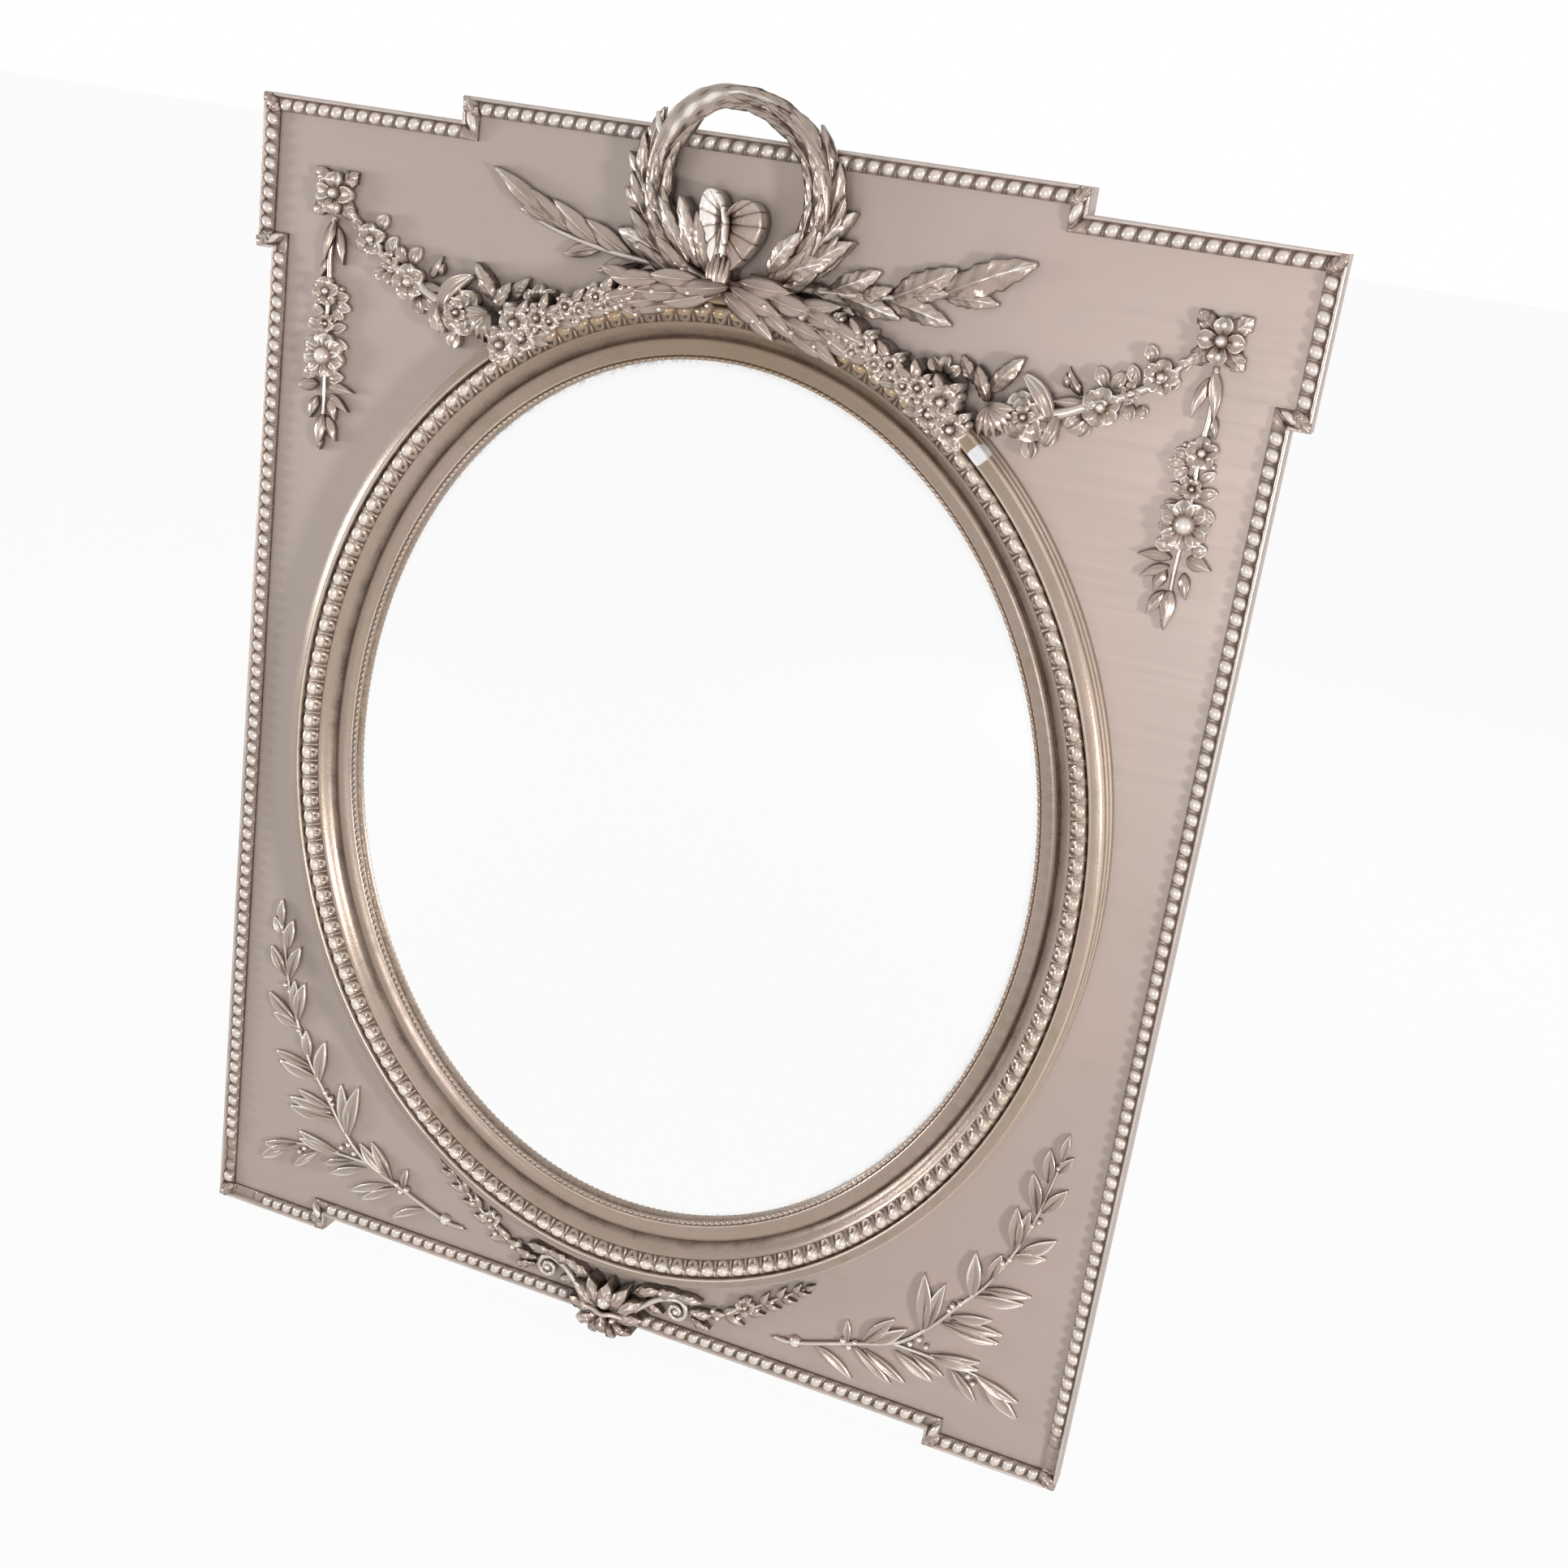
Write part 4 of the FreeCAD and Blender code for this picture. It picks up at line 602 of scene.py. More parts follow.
@dataclass
class OvalMoulding:
    """The moulded oval round the glass. Offsets and rises are in mm from the sight edge and the panel."""

    bench: Bench
    half_width: float = 308
    half_height: float = 375.5
    middle: float = 507.5
    eggs: int = 160
    pearls: int = 380
    section: tuple[tuple[float, float, float], ...] = (
        # offset, rise, tone: two reeds and the sloping lip, the bed of the eggs, the cyma, the hollow,
        # the inner swell and the sight edge
        # the tone column paints shade in the hollows and undercuts, and a highlight on the crests
        (58.9, -0.3, 0.15), (58.9, 4.2, 0.4), (58.8, 7.0, 0.8), (58.3, 8.6, 0.95), (57.8, 9.2, 0.5),
        (57.7, 10.2, 0.12), (57.8, 12.4, 0.5), (57.5, 15.0, 0.95), (56.9, 16.4, 0.8), (56.5, 17.0, 0.3),
        (56.3, 18.0, 0.12), (56.4, 20.2, 0.5), (56.2, 22.6, 0.85), (55.6, 24.2, 1.0), (54.8, 25.1, 0.7),
        (53.4, 25.9, 0.42), (51.5, 26.9, 0.38), (49.4, 27.9, 0.36), (47.4, 28.6, 0.42), (45.9, 28.9, 0.9),
        (45.1, 27.6, 0.4), (44.8, 26.0, 0.04), (44.0, 25.0, 0.0), (40.0, 24.1, 0.02), (33.0, 21.4, 0.02),
        (30.8, 20.5, 0.1), (29.8, 20.1, 0.4), (28.4, 19.0, 0.45), (26.8, 17.2, 0.4), (25.2, 14.9, 0.34),
        (23.6, 12.6, 0.26), (21.6, 10.5, 0.16), (19.8, 9.4, 0.08), (18.6, 8.4, 0.02), (17.9, 8.2, 0.02),
        (17.4, 9.2, 0.14), (16.4, 10.4, 0.4), (14.6, 11.0, 0.5), (12.2, 10.9, 0.48), (9.6, 10.2, 0.42),
        (7.2, 9.3, 0.4), (5.4, 8.3, 0.5), (4.5, 7.8, 0.8), (3.8, 7.1, 0.4), (3.4, 5.7, 0.25), (1.8, 5.5, 0.25),
        (0.5, 5.7, 0.3), (0.3, 4.9, 0.4), (4.4, -0.3, 0.4),
    )  # fmt: skip

    def spot(self, turn: Array, offset: Array, rise: Array) -> Array:
        """Points (x, z, rise) on the ellipse that lies the offset outside the sight edge.

        x = (half width + offset) cos(turn) and z = middle + (half height + offset) sin(turn).
        """
        x = (self.half_width + offset) * np.cos(turn)
        z = self.middle + (self.half_height + offset) * np.sin(turn)
        return np.stack(np.broadcast_arrays(x, z, rise), axis=-1)

    def stations(self, count: int, offset: float) -> Array:
        """Turns that divide the ellipse at an offset into equal lengths.

        Args:
            count: how many.
            offset: how far outside the sight edge the lengths are measured.

        Returns:
            The turns in radians, from the right and anticlockwise.
        """
        turn = np.linspace(0, 2 * np.pi, 8001)
        line = self.spot(turn, np.full_like(turn, offset), 0 * turn)
        far = np.concatenate([[0], np.cumsum(np.linalg.norm(np.diff(line, axis=0), axis=1))])
        return np.interp(np.arange(count) / count * far[-1], far, turn)

    def build_frame(self) -> None:
        """Carries the section round the oval, as rings of it at equal steps.

        A wobble of under a tenth of a millimetre, the sum of two sines of the turn, keeps it hand-run.
        """
        offset, rise, tone = np.array(self.section).T
        turn = self.stations(560, 30)[:, None]
        wobble = 0.05 * np.sin(7 * turn) + 0.04 * np.sin(19 * turn + 1)
        points = self.spot(turn, offset[None] + 0 * turn, rise[None] + wobble * (rise[None] > 1))
        tones = np.repeat(tone[None], len(turn), axis=0)
        made("oval_moulding", ringed(points, tones), self.bench, "gilt_oval", ["oval_frame"])

    def build_eggs(self) -> None:
        """Lays the oval's egg-and-dart course on its sloping bed, as one grid round the oval.

        For a of -0.5 to 0.5 along each egg and b of -1 at the sight side to 1 at the lip, the egg is
        sqrt(1 - (a/0.45)^2 - ((b - 0.34)/0.64)^2). A shell's rim runs from its inner end, at a = 0, out
        beside it to |a| = 0.43, and a dart stands at a = 0.5. All stand square to the bed.
        """
        step = np.array([-0.5, -0.45, -0.4, -0.32, -0.2, -0.09, 0, 0.09, 0.2, 0.32, 0.4, 0.45])
        b = np.array([-1, -0.9, -0.66, -0.4, -0.16, 0.1, 0.4, 0.7, 0.88, 1])
        ends = self.stations(self.eggs, 37)
        pitch = np.diff(np.append(ends, 2 * np.pi))
        turn = (ends[:, None] + (step[None] + 0.5) * pitch[:, None]).ravel()[:, None]
        a = np.tile(step, self.eggs)[:, None]
        egg = np.sqrt(np.clip(1 - (a / 0.45) ** 2 - ((b[None] - 0.34) / 0.64) ** 2, 0, 1))
        spread = 0.43 * np.clip((b[None] + 0.92) / 1.3, 0, 1) ** 0.7
        rim = np.exp(-(((np.abs(a) - spread) / 0.07) ** 2)) * np.clip((b[None] + 1) * 8, 0, 1) * (egg < 0.25)
        dart = np.exp(-(((np.abs(a) - 0.5) / 0.04) ** 2)) * np.clip(0.75 - 0.6 * b[None], 0, 1) * (1 - b[None] ** 8)
        stand = np.maximum(np.maximum(5.2 * egg**0.9, 2.4 * rim * (1 - b[None] ** 8)), 2.6 * dart)
        bed_offset = 36.8 + 7.1 * b
        bed_rise = 20.8 + 4.4 * np.sin(np.pi / 2 * (b + 1) / 2)
        lean = math.radians(22)
        offset = bed_offset[None] - stand * math.sin(lean)
        rise = bed_rise[None] + stand * math.cos(lean)
        under = np.ones_like(turn)
        offset = np.concatenate([offset[:, ::-1], 30.5 * under, 43.5 * under], axis=1)
        rise = np.concatenate([rise[:, ::-1], 18.8 * under, 24.0 * under], axis=1)
        # Tone paints a highlight on the eggs, rims and darts, shade between them and black on the rings behind.
        tones = np.clip(0.02 + 1.5 * np.clip(egg - 0.12, 0, 1) + 0.75 * rim + 0.7 * dart, 0, 1)
        tones = np.concatenate([tones[:, ::-1], 0 * under, 0 * under], axis=1)
        points = self.spot(turn, offset, rise)
        made("oval_egg_and_dart", ringed(points, tones), self.bench, "gilt_oval", ["oval_egg_course"])

    def build_pearls(self) -> None:
        """Lays the fine pearl string at the sight edge: height sqrt(1 - (a/0.46)^2 - b^2) over a fillet."""
        step = np.array([-0.5, -0.36, -0.18, 0, 0.18, 0.36])
        b = np.array([-1, -0.6, 0, 0.6, 1])
        ends = self.stations(self.pearls, 2)
        pitch = np.diff(np.append(ends, 2 * np.pi))
        turn = (ends[:, None] + (step[None] + 0.5) * pitch[:, None]).ravel()[:, None]
        a = np.tile(step, self.pearls)[:, None]
        pearl = np.sqrt(np.clip(1 - (a / 0.46) ** 2 - (b[None] / 1.05) ** 2, 0, 1))
        under = np.ones_like(turn)
        offset = np.concatenate([3.2 * under, 1.8 + 1.45 * b[None, ::-1] + 0 * a, 0.5 * under], axis=1)
        rise = np.concatenate([5.1 * under, 6.1 + 2.4 * pearl[:, ::-1], 5.1 * under], axis=1)
        # Tone paints a highlight on each pearl and shade on the fillets either side.
        tones = np.concatenate([0 * under, 0.34 + 0.34 * pearl[:, ::-1], 0 * under], axis=1)
        points = self.spot(turn, offset, rise)
        made("sight_pearl_string", ringed(points, tones), self.bench, "gilt_oval", ["sight_bead"])

    def build(self) -> None:
        """Makes the moulding, its egg course and its pearls."""
        self.build_frame()
        self.build_eggs()
        self.build_pearls()


# ----------------------------------------------------------------- ornaments


@dataclass
class Wreath:
    """The laurel wreath, which stands up over the top edge. Sizes are in mm."""

    bench: Bench
    height: float = 1008
    radius: float = 70
    thick: float = 10.5
    thin: float = 6.5
    front: float = 27.0
    lean: float = 14.0
    shift: float = -9.0
    leaf_step: float = 0.32  # turn from one leaf of a row to the next, in radians

    def line(self, turn: Array) -> tuple[Array, Array, Array, Array]:
        """Centre line at a turn from the top: x, z, rise and half thickness.

        The half thickness grows from thin at the top to thick, and the ring leans back to the panel, both
        with low = (1 - cos(pi turn / 1.9)) / 2.
        """
        low = 0.5 - 0.5 * np.cos(np.minimum(np.abs(turn) / 1.9, 1) * np.pi)
        half = self.thin + low * (self.thick - self.thin)
        rise = self.front - self.lean * low
        return self.shift + self.radius * np.sin(turn), self.height + self.radius * np.cos(turn), rise, half

    def core(self) -> Shell:
        """The bound core: a ring of ellipses round the centre line, bare and fuller at the upper left."""
        turn = np.linspace(-np.pi, np.pi, 160, endpoint=False)[:, None]
        around = np.linspace(0, 2 * np.pi, 24, endpoint=False)[None]
        x, z, rise, half = self.line(turn)
        bare = np.exp(-(((turn + 0.5) / 0.62) ** 2))
        flute = 1 + 0.06 * np.cos(5 * around + 4 * turn) + 0.035 * np.sin(23 * turn + 2 * around) * bare
        reach = (0.72 * half + 4.6 * bare) * flute * np.cos(around)
        up = (0.8 * half + 2.2 * bare) * flute * np.sin(around)
        points = np.stack([x + reach * np.sin(turn), z + reach * np.cos(turn), rise + up], axis=-1)
        # Tone paints the front of the core light, its back in shade, and a highlight on the flutes.
        tones = np.clip(0.12 + 0.36 * np.sin(around) + 5 * (flute - 1) + 0.12 * bare, 0.02, 1)
        return ringed(points, tones)

    def build(self) -> None:
        """Lays three rows of leaves up each side of the core, their tips pointing to the top."""
        carver = Carver(self.bench, 3)
        carver.shells.append(self.core())
        # the ring's leaves are painted darker, as shade among them
        carver.light = -0.16
        for side, steps, begin in ((1, 8, 0.25), (-1, 5, 1.25)):
            for lane, shift in ((-1, 0.0), (1, 0.12), (0, 0.2)):
                rows = []
                for k in range(steps):
                    turn = begin + self.leaf_step * k + shift
                    x, z, rise, half = (float(v) for v in self.line(np.array(side * turn)))
                    low = (half - self.thin) / (self.thick - self.thin)
                    out = lane * half * 0.6
                    root = np.array([x + out * math.sin(side * turn), z + out * math.cos(turn)])
                    heading = math.pi - turn if side > 0 else turn
                    long = 36 + 6 * low + 4 * float(carver.chance.uniform(-1, 1))
                    # half the turn that the leaf spans keeps it on the ring, and low leaves spring off it
                    spring = (0.04 + 0.26 * low * (turn > 1.2)) * (lane > 0)
                    bend = 0.5 * long / self.radius - spring + 0.12 * (lane < 0)
                    heading += side * bend
                    tip = root + long * np.array([math.cos(heading), math.sin(heading)])
                    lift = rise + half * (0.3 if lane else 0.68)
                    rows.append((*(root / PLAN), *(tip / PLAN), (8.4 + 5.5 * low) / PLAN, side * 20, lift))
                carver.leaves(LeafForm.WREATH, rows, Lie(-1.5, 3.4, 5.0, 6.0, -1.0))
        # the leaves that follow get a little painted light
        carver.light = 0.1
        # the bound end of the left branch, which stands off the ring
        carver.stem([(-78, 1182, 20), (-86, 1192, 22), (-89, 1204, 23)], 1.6, 5.6)
        carver.stem([(-86, 1176, 18), (-94, 1184, 19), (-98, 1190, 19)], 1.4, 4.2)
        low_leaves = [
            (-58, 1092, -104, 1146, 19, 14, 2), (-48, 1084, -82, 1136, 15, 8, 6), (-36, 1082, -60, 1138, 15, 4, 9),
            (-28, 1080, -42, 1128, 14, 2, 10), (-72, 1094, -118, 1138, 18, 16, -2), (-84, 1112, -118, 1168, 17, 12, -2),
            (36, 1084, 84, 1104, 22, -12, 4), (28, 1086, 54, 1124, 17, -6, 8), (54, 1088, 98, 1122, 20, -14, 2),
            (62, 1104, 96, 1146, 17, -12, 0), (-66, 1084, -120, 1102, 19, 10, -2),
        ]  # fmt: skip
        carver.leaves(LeafForm.LAUREL, low_leaves, Lie(11, 19, 15, 22))
        carver.finish("laurel_wreath_leaves", "gilt_carving", "laurel_wreath")


@dataclass(frozen=True)
class Loop:
    """One loop of the bow. Directions are in degrees from the right, seen from its foot."""

    heading: float
    spread: float  # half of its width, in degrees
    hole: float  # the direction of its hole
    reach: float  # in plan units
    rise: float  # of its inner edge, in mm
    # light: painted light when above 0 and painted shade when below, added to the loop's tone
    light: float  # added to its tone


@dataclass
class Bow:
    """The pleated ribbon bow under the wreath, with a slim loop on the left and a wide one on the right."""

    bench: Bench
    foot: tuple[float, float] = (-15, 1075)
    pleats: int = 12
    # the right loop is painted in shade and the left in light
    loops: tuple[Loop, ...] = (Loop(72, 33, 92, 71, 15.0, -0.24), Loop(103, 19, 96, 75, 18.0, 0.24))

    def loop(self, shape: Loop) -> Shell:
        """One loop: a flat lobe with a hole in it, pleated round the hole.

        The outer edge lies at reach cos(pi/2 w)^0.6 from the foot, in the direction heading + spread w for w
        of -1 to 1, and the inner edge is the same line shrunk to a slim upright slot about a point in the
        lobe. The ribbon rises from the inner edge to the outer, in pleats 1 - |2 f - 1|^8 with f the share
        of each.

        Args:
            shape: the loop.

        Returns:
            The closed loop.
        """
        share = np.linspace(0, 1, self.pleats * 8, endpoint=False)[:, None]
        w = np.sin(np.pi * (share - 0.5))
        heading = np.radians(shape.heading + shape.spread * w)
        reach = shape.reach * np.clip(np.cos(np.pi / 2 * w), 1e-4, 1) ** 0.6
        outer = np.concatenate([reach * np.cos(heading), reach * np.sin(heading)], axis=1)
        middle = math.radians(shape.hole)
        heart = 0.64 * shape.reach * np.array([[math.cos(middle), math.sin(middle)]])
        inner = heart + np.array([[0.08, 0.34]]) * (outer - heart)
        v = np.array([1, 0.94, 0.7, 0.36, 0.1, 0.0])[None, :, None]
        spot = inner[:, None] + (outer - inner)[:, None] * v
        groove = np.abs(2 * ((share * self.pleats) % 1) - 1) ** 8
        v = v[..., 0]
        rise = shape.rise + 9.5 * v**0.8 + 2.4 * (1 - groove) * np.sin(np.pi * (0.15 + 0.8 * v)) - 3.0 * (v - 0.5) ** 2
        # Tone paints shade in the pleats' grooves and towards the hole, and light on the pleats; the closing rings are
        # black.
        tones = np.clip(0.82 + shape.light - 0.8 * groove - 0.7 * (1 - v) ** 3, 0.0, 1)
        spot = np.concatenate([spot, spot[:, -1:], spot[:, :1]], axis=1)
        rise = np.concatenate([rise, 4 + 0 * rise[:, :2]], axis=1)
        tones = np.concatenate([tones, 0 * tones[:, :2]], axis=1)
        x = (self.foot[0] + spot[..., 0]) * PLAN
        points = np.stack([x, (self.foot[1] + spot[..., 1]) * PLAN, rise], axis=-1)
        return ringed(points, tones)

    def build(self) -> None:
        """Makes the two loops and the fluted knot that gathers them."""
        carver = Carver(self.bench, 5)
        carver.shells += [self.loop(shape) for shape in self.loops]
        x, z = self.foot
        flutes = [
            (x + d, z + 22 - abs(d) * 0.4, x + 0.3 * d, z - 20, 6.4, -d * 2, 2 - abs(d) * 0.3)
            for d in (-8, -4, 0, 4, 8)
        ]
        carver.leaves(LeafForm.LANCE, flutes, Lie(25, 30, 24))
        carver.buds([(x, z + 2, 9.5, 8, 29.5)], lobes=7)
        carver.finish("ribbon_bow_loops", "gilt_carving", "ribbon_bow")


@dataclass
class UpperLaurel:
    """The two branches of laurel that spread from the knot: broad cut leaves right, slim ones left."""

    bench: Bench
    stalk: tuple[tuple[float, float, float], ...] = (
        (8, 1080, 9), (75, 1077, 7), (140, 1083, 5.5), (188, 1093, 5), (222, 1106, 4.5)
    )
    broad: tuple[tuple[float, ...], ...] = (
        (38, 1082, 88, 1110, 22, 10, 2.5), (56, 1080, 106, 1062, 20, -8, 2), (80, 1079, 124, 1102, 21, 10, 2),
        (92, 1077, 146, 1066, 19, -8, 1.6), (106, 1078, 136, 1090, 14, 12, 2.4),
        (136, 1082, 190, 1114, 28, 12, 2.4), (134, 1080, 192, 1068, 21, -10, 1.8), (150, 1086, 186, 1094, 14, 0, 3.4),
        (180, 1091, 256, 1128, 30, -8, 2.6), (184, 1090, 230, 1091, 16, -12, 1.2),
    )  # fmt: skip
    slim: tuple[tuple[float, ...], ...] = (
        (34, 1082, 88, 1110, 17, 10, 2), (50, 1080, 104, 1064, 16, -8, 1.6), (78, 1079, 124, 1104, 16, 10, 1.6),
        (98, 1078, 140, 1062, 15, -6, 0.6), (108, 1080, 156, 1106, 17, 10, 1.4), (136, 1084, 176, 1072, 13, -6, 0.4),
        (140, 1086, 190, 1118, 17, 10, 1.6), (166, 1092, 214, 1124, 16, 8, 1.4), (184, 1096, 252, 1138, 17, -6, 2),
        (176, 1094, 226, 1112, 13, -8, 0.8),
    )  # fmt: skip

    def build(self) -> None:
        """Makes the right branch and the left."""
        branches = ((1, "right", LeafForm.LAUREL, self.broad), (-1, "left", LeafForm.BAY, self.slim))
        for side, name, form, leaves in branches:
            carver = Carver(self.bench, 30 + side)
            carver.stem(self.stalk, 1.3, 3.2, side)
            carver.leaves(form, leaves, Lie(3.6, 8.6, 5.4), side)
            carver.finish(f"laurel_branch_{name}_leaves", "gilt_carving", f"laurel_branch_{name}")


@dataclass
class KnotLeaves:
    """The leaves below the knot, which lie over the lip of the oval."""

    bench: Bench
    broad: tuple[tuple[float, ...], ...] = (
        (-6, 1066, 34, 1044, 17, 10, 3), (0, 1070, 50, 1054, 19, 10, 4), (8, 1076, 56, 1074, 19, 8, 5),
        (24, 1062, 66, 1036, 17, -8, 1), (32, 1070, 82, 1060, 18, 10, 4), (42, 1056, 90, 1040, 18, 6, 2),
        (50, 1046, 96, 1024, 16, -8, 0), (62, 1066, 110, 1050, 17, 10, 3), (76, 1052, 120, 1028, 17, -8, 1),
        (56, 1064, 102, 1070, 15, 12, 2), (88, 1058, 130, 1042, 14, 10, 2), (70, 1044, 106, 1020, 13, -8, 0),
        (12, 1058, 44, 1032, 14, -8, 0),
    )  # fmt: skip
    slim: tuple[tuple[float, ...], ...] = (
        (2, 1070, 54, 1062, 17, 8, 4), (12, 1064, 62, 1048, 17, 8, 2), (30, 1072, 76, 1070, 16, 8, 4),
        (40, 1060, 92, 1054, 17, 8, 2), (48, 1048, 92, 1036, 14, -8, 0), (66, 1068, 114, 1062, 16, 8, 3),
        (78, 1054, 122, 1040, 15, -8, 1), (86, 1064, 124, 1070, 14, 10, 2), (58, 1052, 98, 1042, 13, 0, 1),
    )  # fmt: skip
    berries: tuple[tuple[float, ...], ...] = (
        (36, 1060, 3.2, 28, 38), (70, 1056, 3.4, 28, 37.5), (98, 1040, 3.2, 28, 36.5), (92, 1056, 2.8, 26, 36),
        (62, 1042, 3, 28, 36), (18, 1052, 2.8, 26, 35.5), (26, 1046, 2.6, 26, 35), (84, 1034, 2.8, 26, 35.5),
        (48, 1078, 3, 20, 30), (56, 1082, 2.6, 18, 27), (112, 1044, 3, 26, 35.5), (118, 1034, 2.8, 26, 35),
    )  # fmt: skip

    def build(self) -> None:
        """Makes the right spray and the left."""
        for side, name, leaves in ((1, "right", self.broad), (-1, "left", self.slim)):
            # the sprays' leaves get a little painted shade
            carver = Carver(self.bench, 40 + side, -0.06)
            carver.leaves(LeafForm.BAY, leaves, Lie(26, 32, 28), side)
            carver.buds(self.berries, side)
            carver.finish(f"leaf_spray_{name}_leaves", "gilt_carving", f"leaf_spray_{name}")


@dataclass
class CornerRosette:
    """The square leaf rosette that a garland and a drop hang from."""

    bench: Bench
    x: float = 416
    z: float = 1092

    def build(self) -> None:
        """Four round petals over four corner leaves, with a ball in the middle."""
        for side, name in ((1, "right"), (-1, "left")):
            carver = Carver(self.bench, 50 + side)
            corners = [
                (self.x + 5 * sx, self.z + 5 * sz, self.x + 22 * sx, self.z + 21 * sz, 19, 0, 0.3 * (sx > 0))
                for sx in (-1, 1)
                for sz in (-1, 1)
            ]
            carver.leaves(LeafForm.ACANTHUS, corners, Lie(3, 6.5, 5), side)
            petals = [
                (self.x + 3 * dx, self.z + 3 * dz, self.x + 19 * dx, self.z + 19 * dz, 16, 0, 0.4 * (dx != 0))
                for dx, dz in ((1, 0), (-1, 0), (0, 1), (0, -1))
            ]
            carver.leaves(LeafForm.PETAL, petals, Lie(5, 10.5, 7.5), side)
            balls = [
                (self.x + 12.5 * dx, self.z + 12.5 * dz, 5.2, 3, 12.2)
                for dx, dz in ((1, 0), (-1, 0), (0, 1), (0, -1))
            ]
            carver.buds(balls + [(self.x, self.z, 5.6, 6, 14.8)], side)
            carver.finish(f"corner_rosette_{name}_petals", "gilt_carving", f"corner_rosette_{name}")


@dataclass
class FlowerDrop:
    """The drop of flowers and leaves below a corner rosette."""

    bench: Bench
    stalk: tuple[tuple[float, float, float], ...] = (
        (416, 1071, 3.5), (419, 1036, 4), (417, 1002, 4), (418, 970, 4), (417, 930, 3.5), (416, 895, 3), (417, 872, 2.5)
    )  # fmt: skip

    def build(self) -> None:
        """Makes the right drop and its like on the left, from the top down."""
        for side, name in ((1, "right"), (-1, "left")):
            carver = Carver(self.bench, 60 + side)
            carver.stem(self.stalk, 1.3, 2.4, side)
            carver.leaves(
                LeafForm.LANCE,
                [(415, 1069, 423, 1028, 11, -12, 2.2), (413, 1062, 404, 1028, 10, 14, 0),
                 (421, 1034, 427, 1014, 8, 0, 0), (411, 905, 388, 892, 9, 20, 0.6), (412, 912, 383, 911, 10, 24, 1),
                 (424, 914, 446, 908, 13, -10, 1), (416, 886, 418, 853, 13, 0, 1.6), (412, 884, 400, 862, 12, 8, 0.6),
                 (424, 902, 430, 880, 10, 0, 0.4), (408, 903, 402, 882, 11, -8, 0.6), (416, 864, 417, 851, 6, 0, 0)],
                Lie(3, 6.2, 4.4),
                side,
            )  # fmt: skip
            carver.leaves(
                LeafForm.LOOP,
                [(411, 996, 396, 1000, 12, 0, 0), (408, 992, 393, 988, 11, 0, 0.4), (410, 988, 401, 978, 10, 0, 0.2),
                 (412, 966, 397, 972, 10, 10, 0), (422, 966, 438, 972, 11, -10, 0), (410, 958, 394, 952, 10, 0, 0),
                 (424, 956, 440, 950, 11, 0, 0.2), (421, 978, 433, 988, 9, 0, 0), (427, 921, 439, 925, 12, 0, 0.8),
                 (412, 922, 396, 924, 12, 0, 0.6), (414, 972, 407, 982, 8, 0, 0)],
                Lie(3, 5.6, 4.4),
                side,
            )  # fmt: skip
            carver.blooms(
                [(419, 1002, 13.5, 5, 20, 2.5, 8.5), (417, 972, 9, 5, 50, 2, 7.5), (417, 942, 21, 8, 10, 2.5, 11.5)],
                side,
            )
            carver.buds(
                [(417, 942, 9.6, 7, 15.5), (404, 1006, 2.6, 1, 6), (430, 992, 2.6, 1, 6), (409, 980, 2.4, 1, 6)],
                side,
            )
            carver.finish(f"flower_drop_{name}_blooms", "gilt_carving", f"flower_drop_{name}")


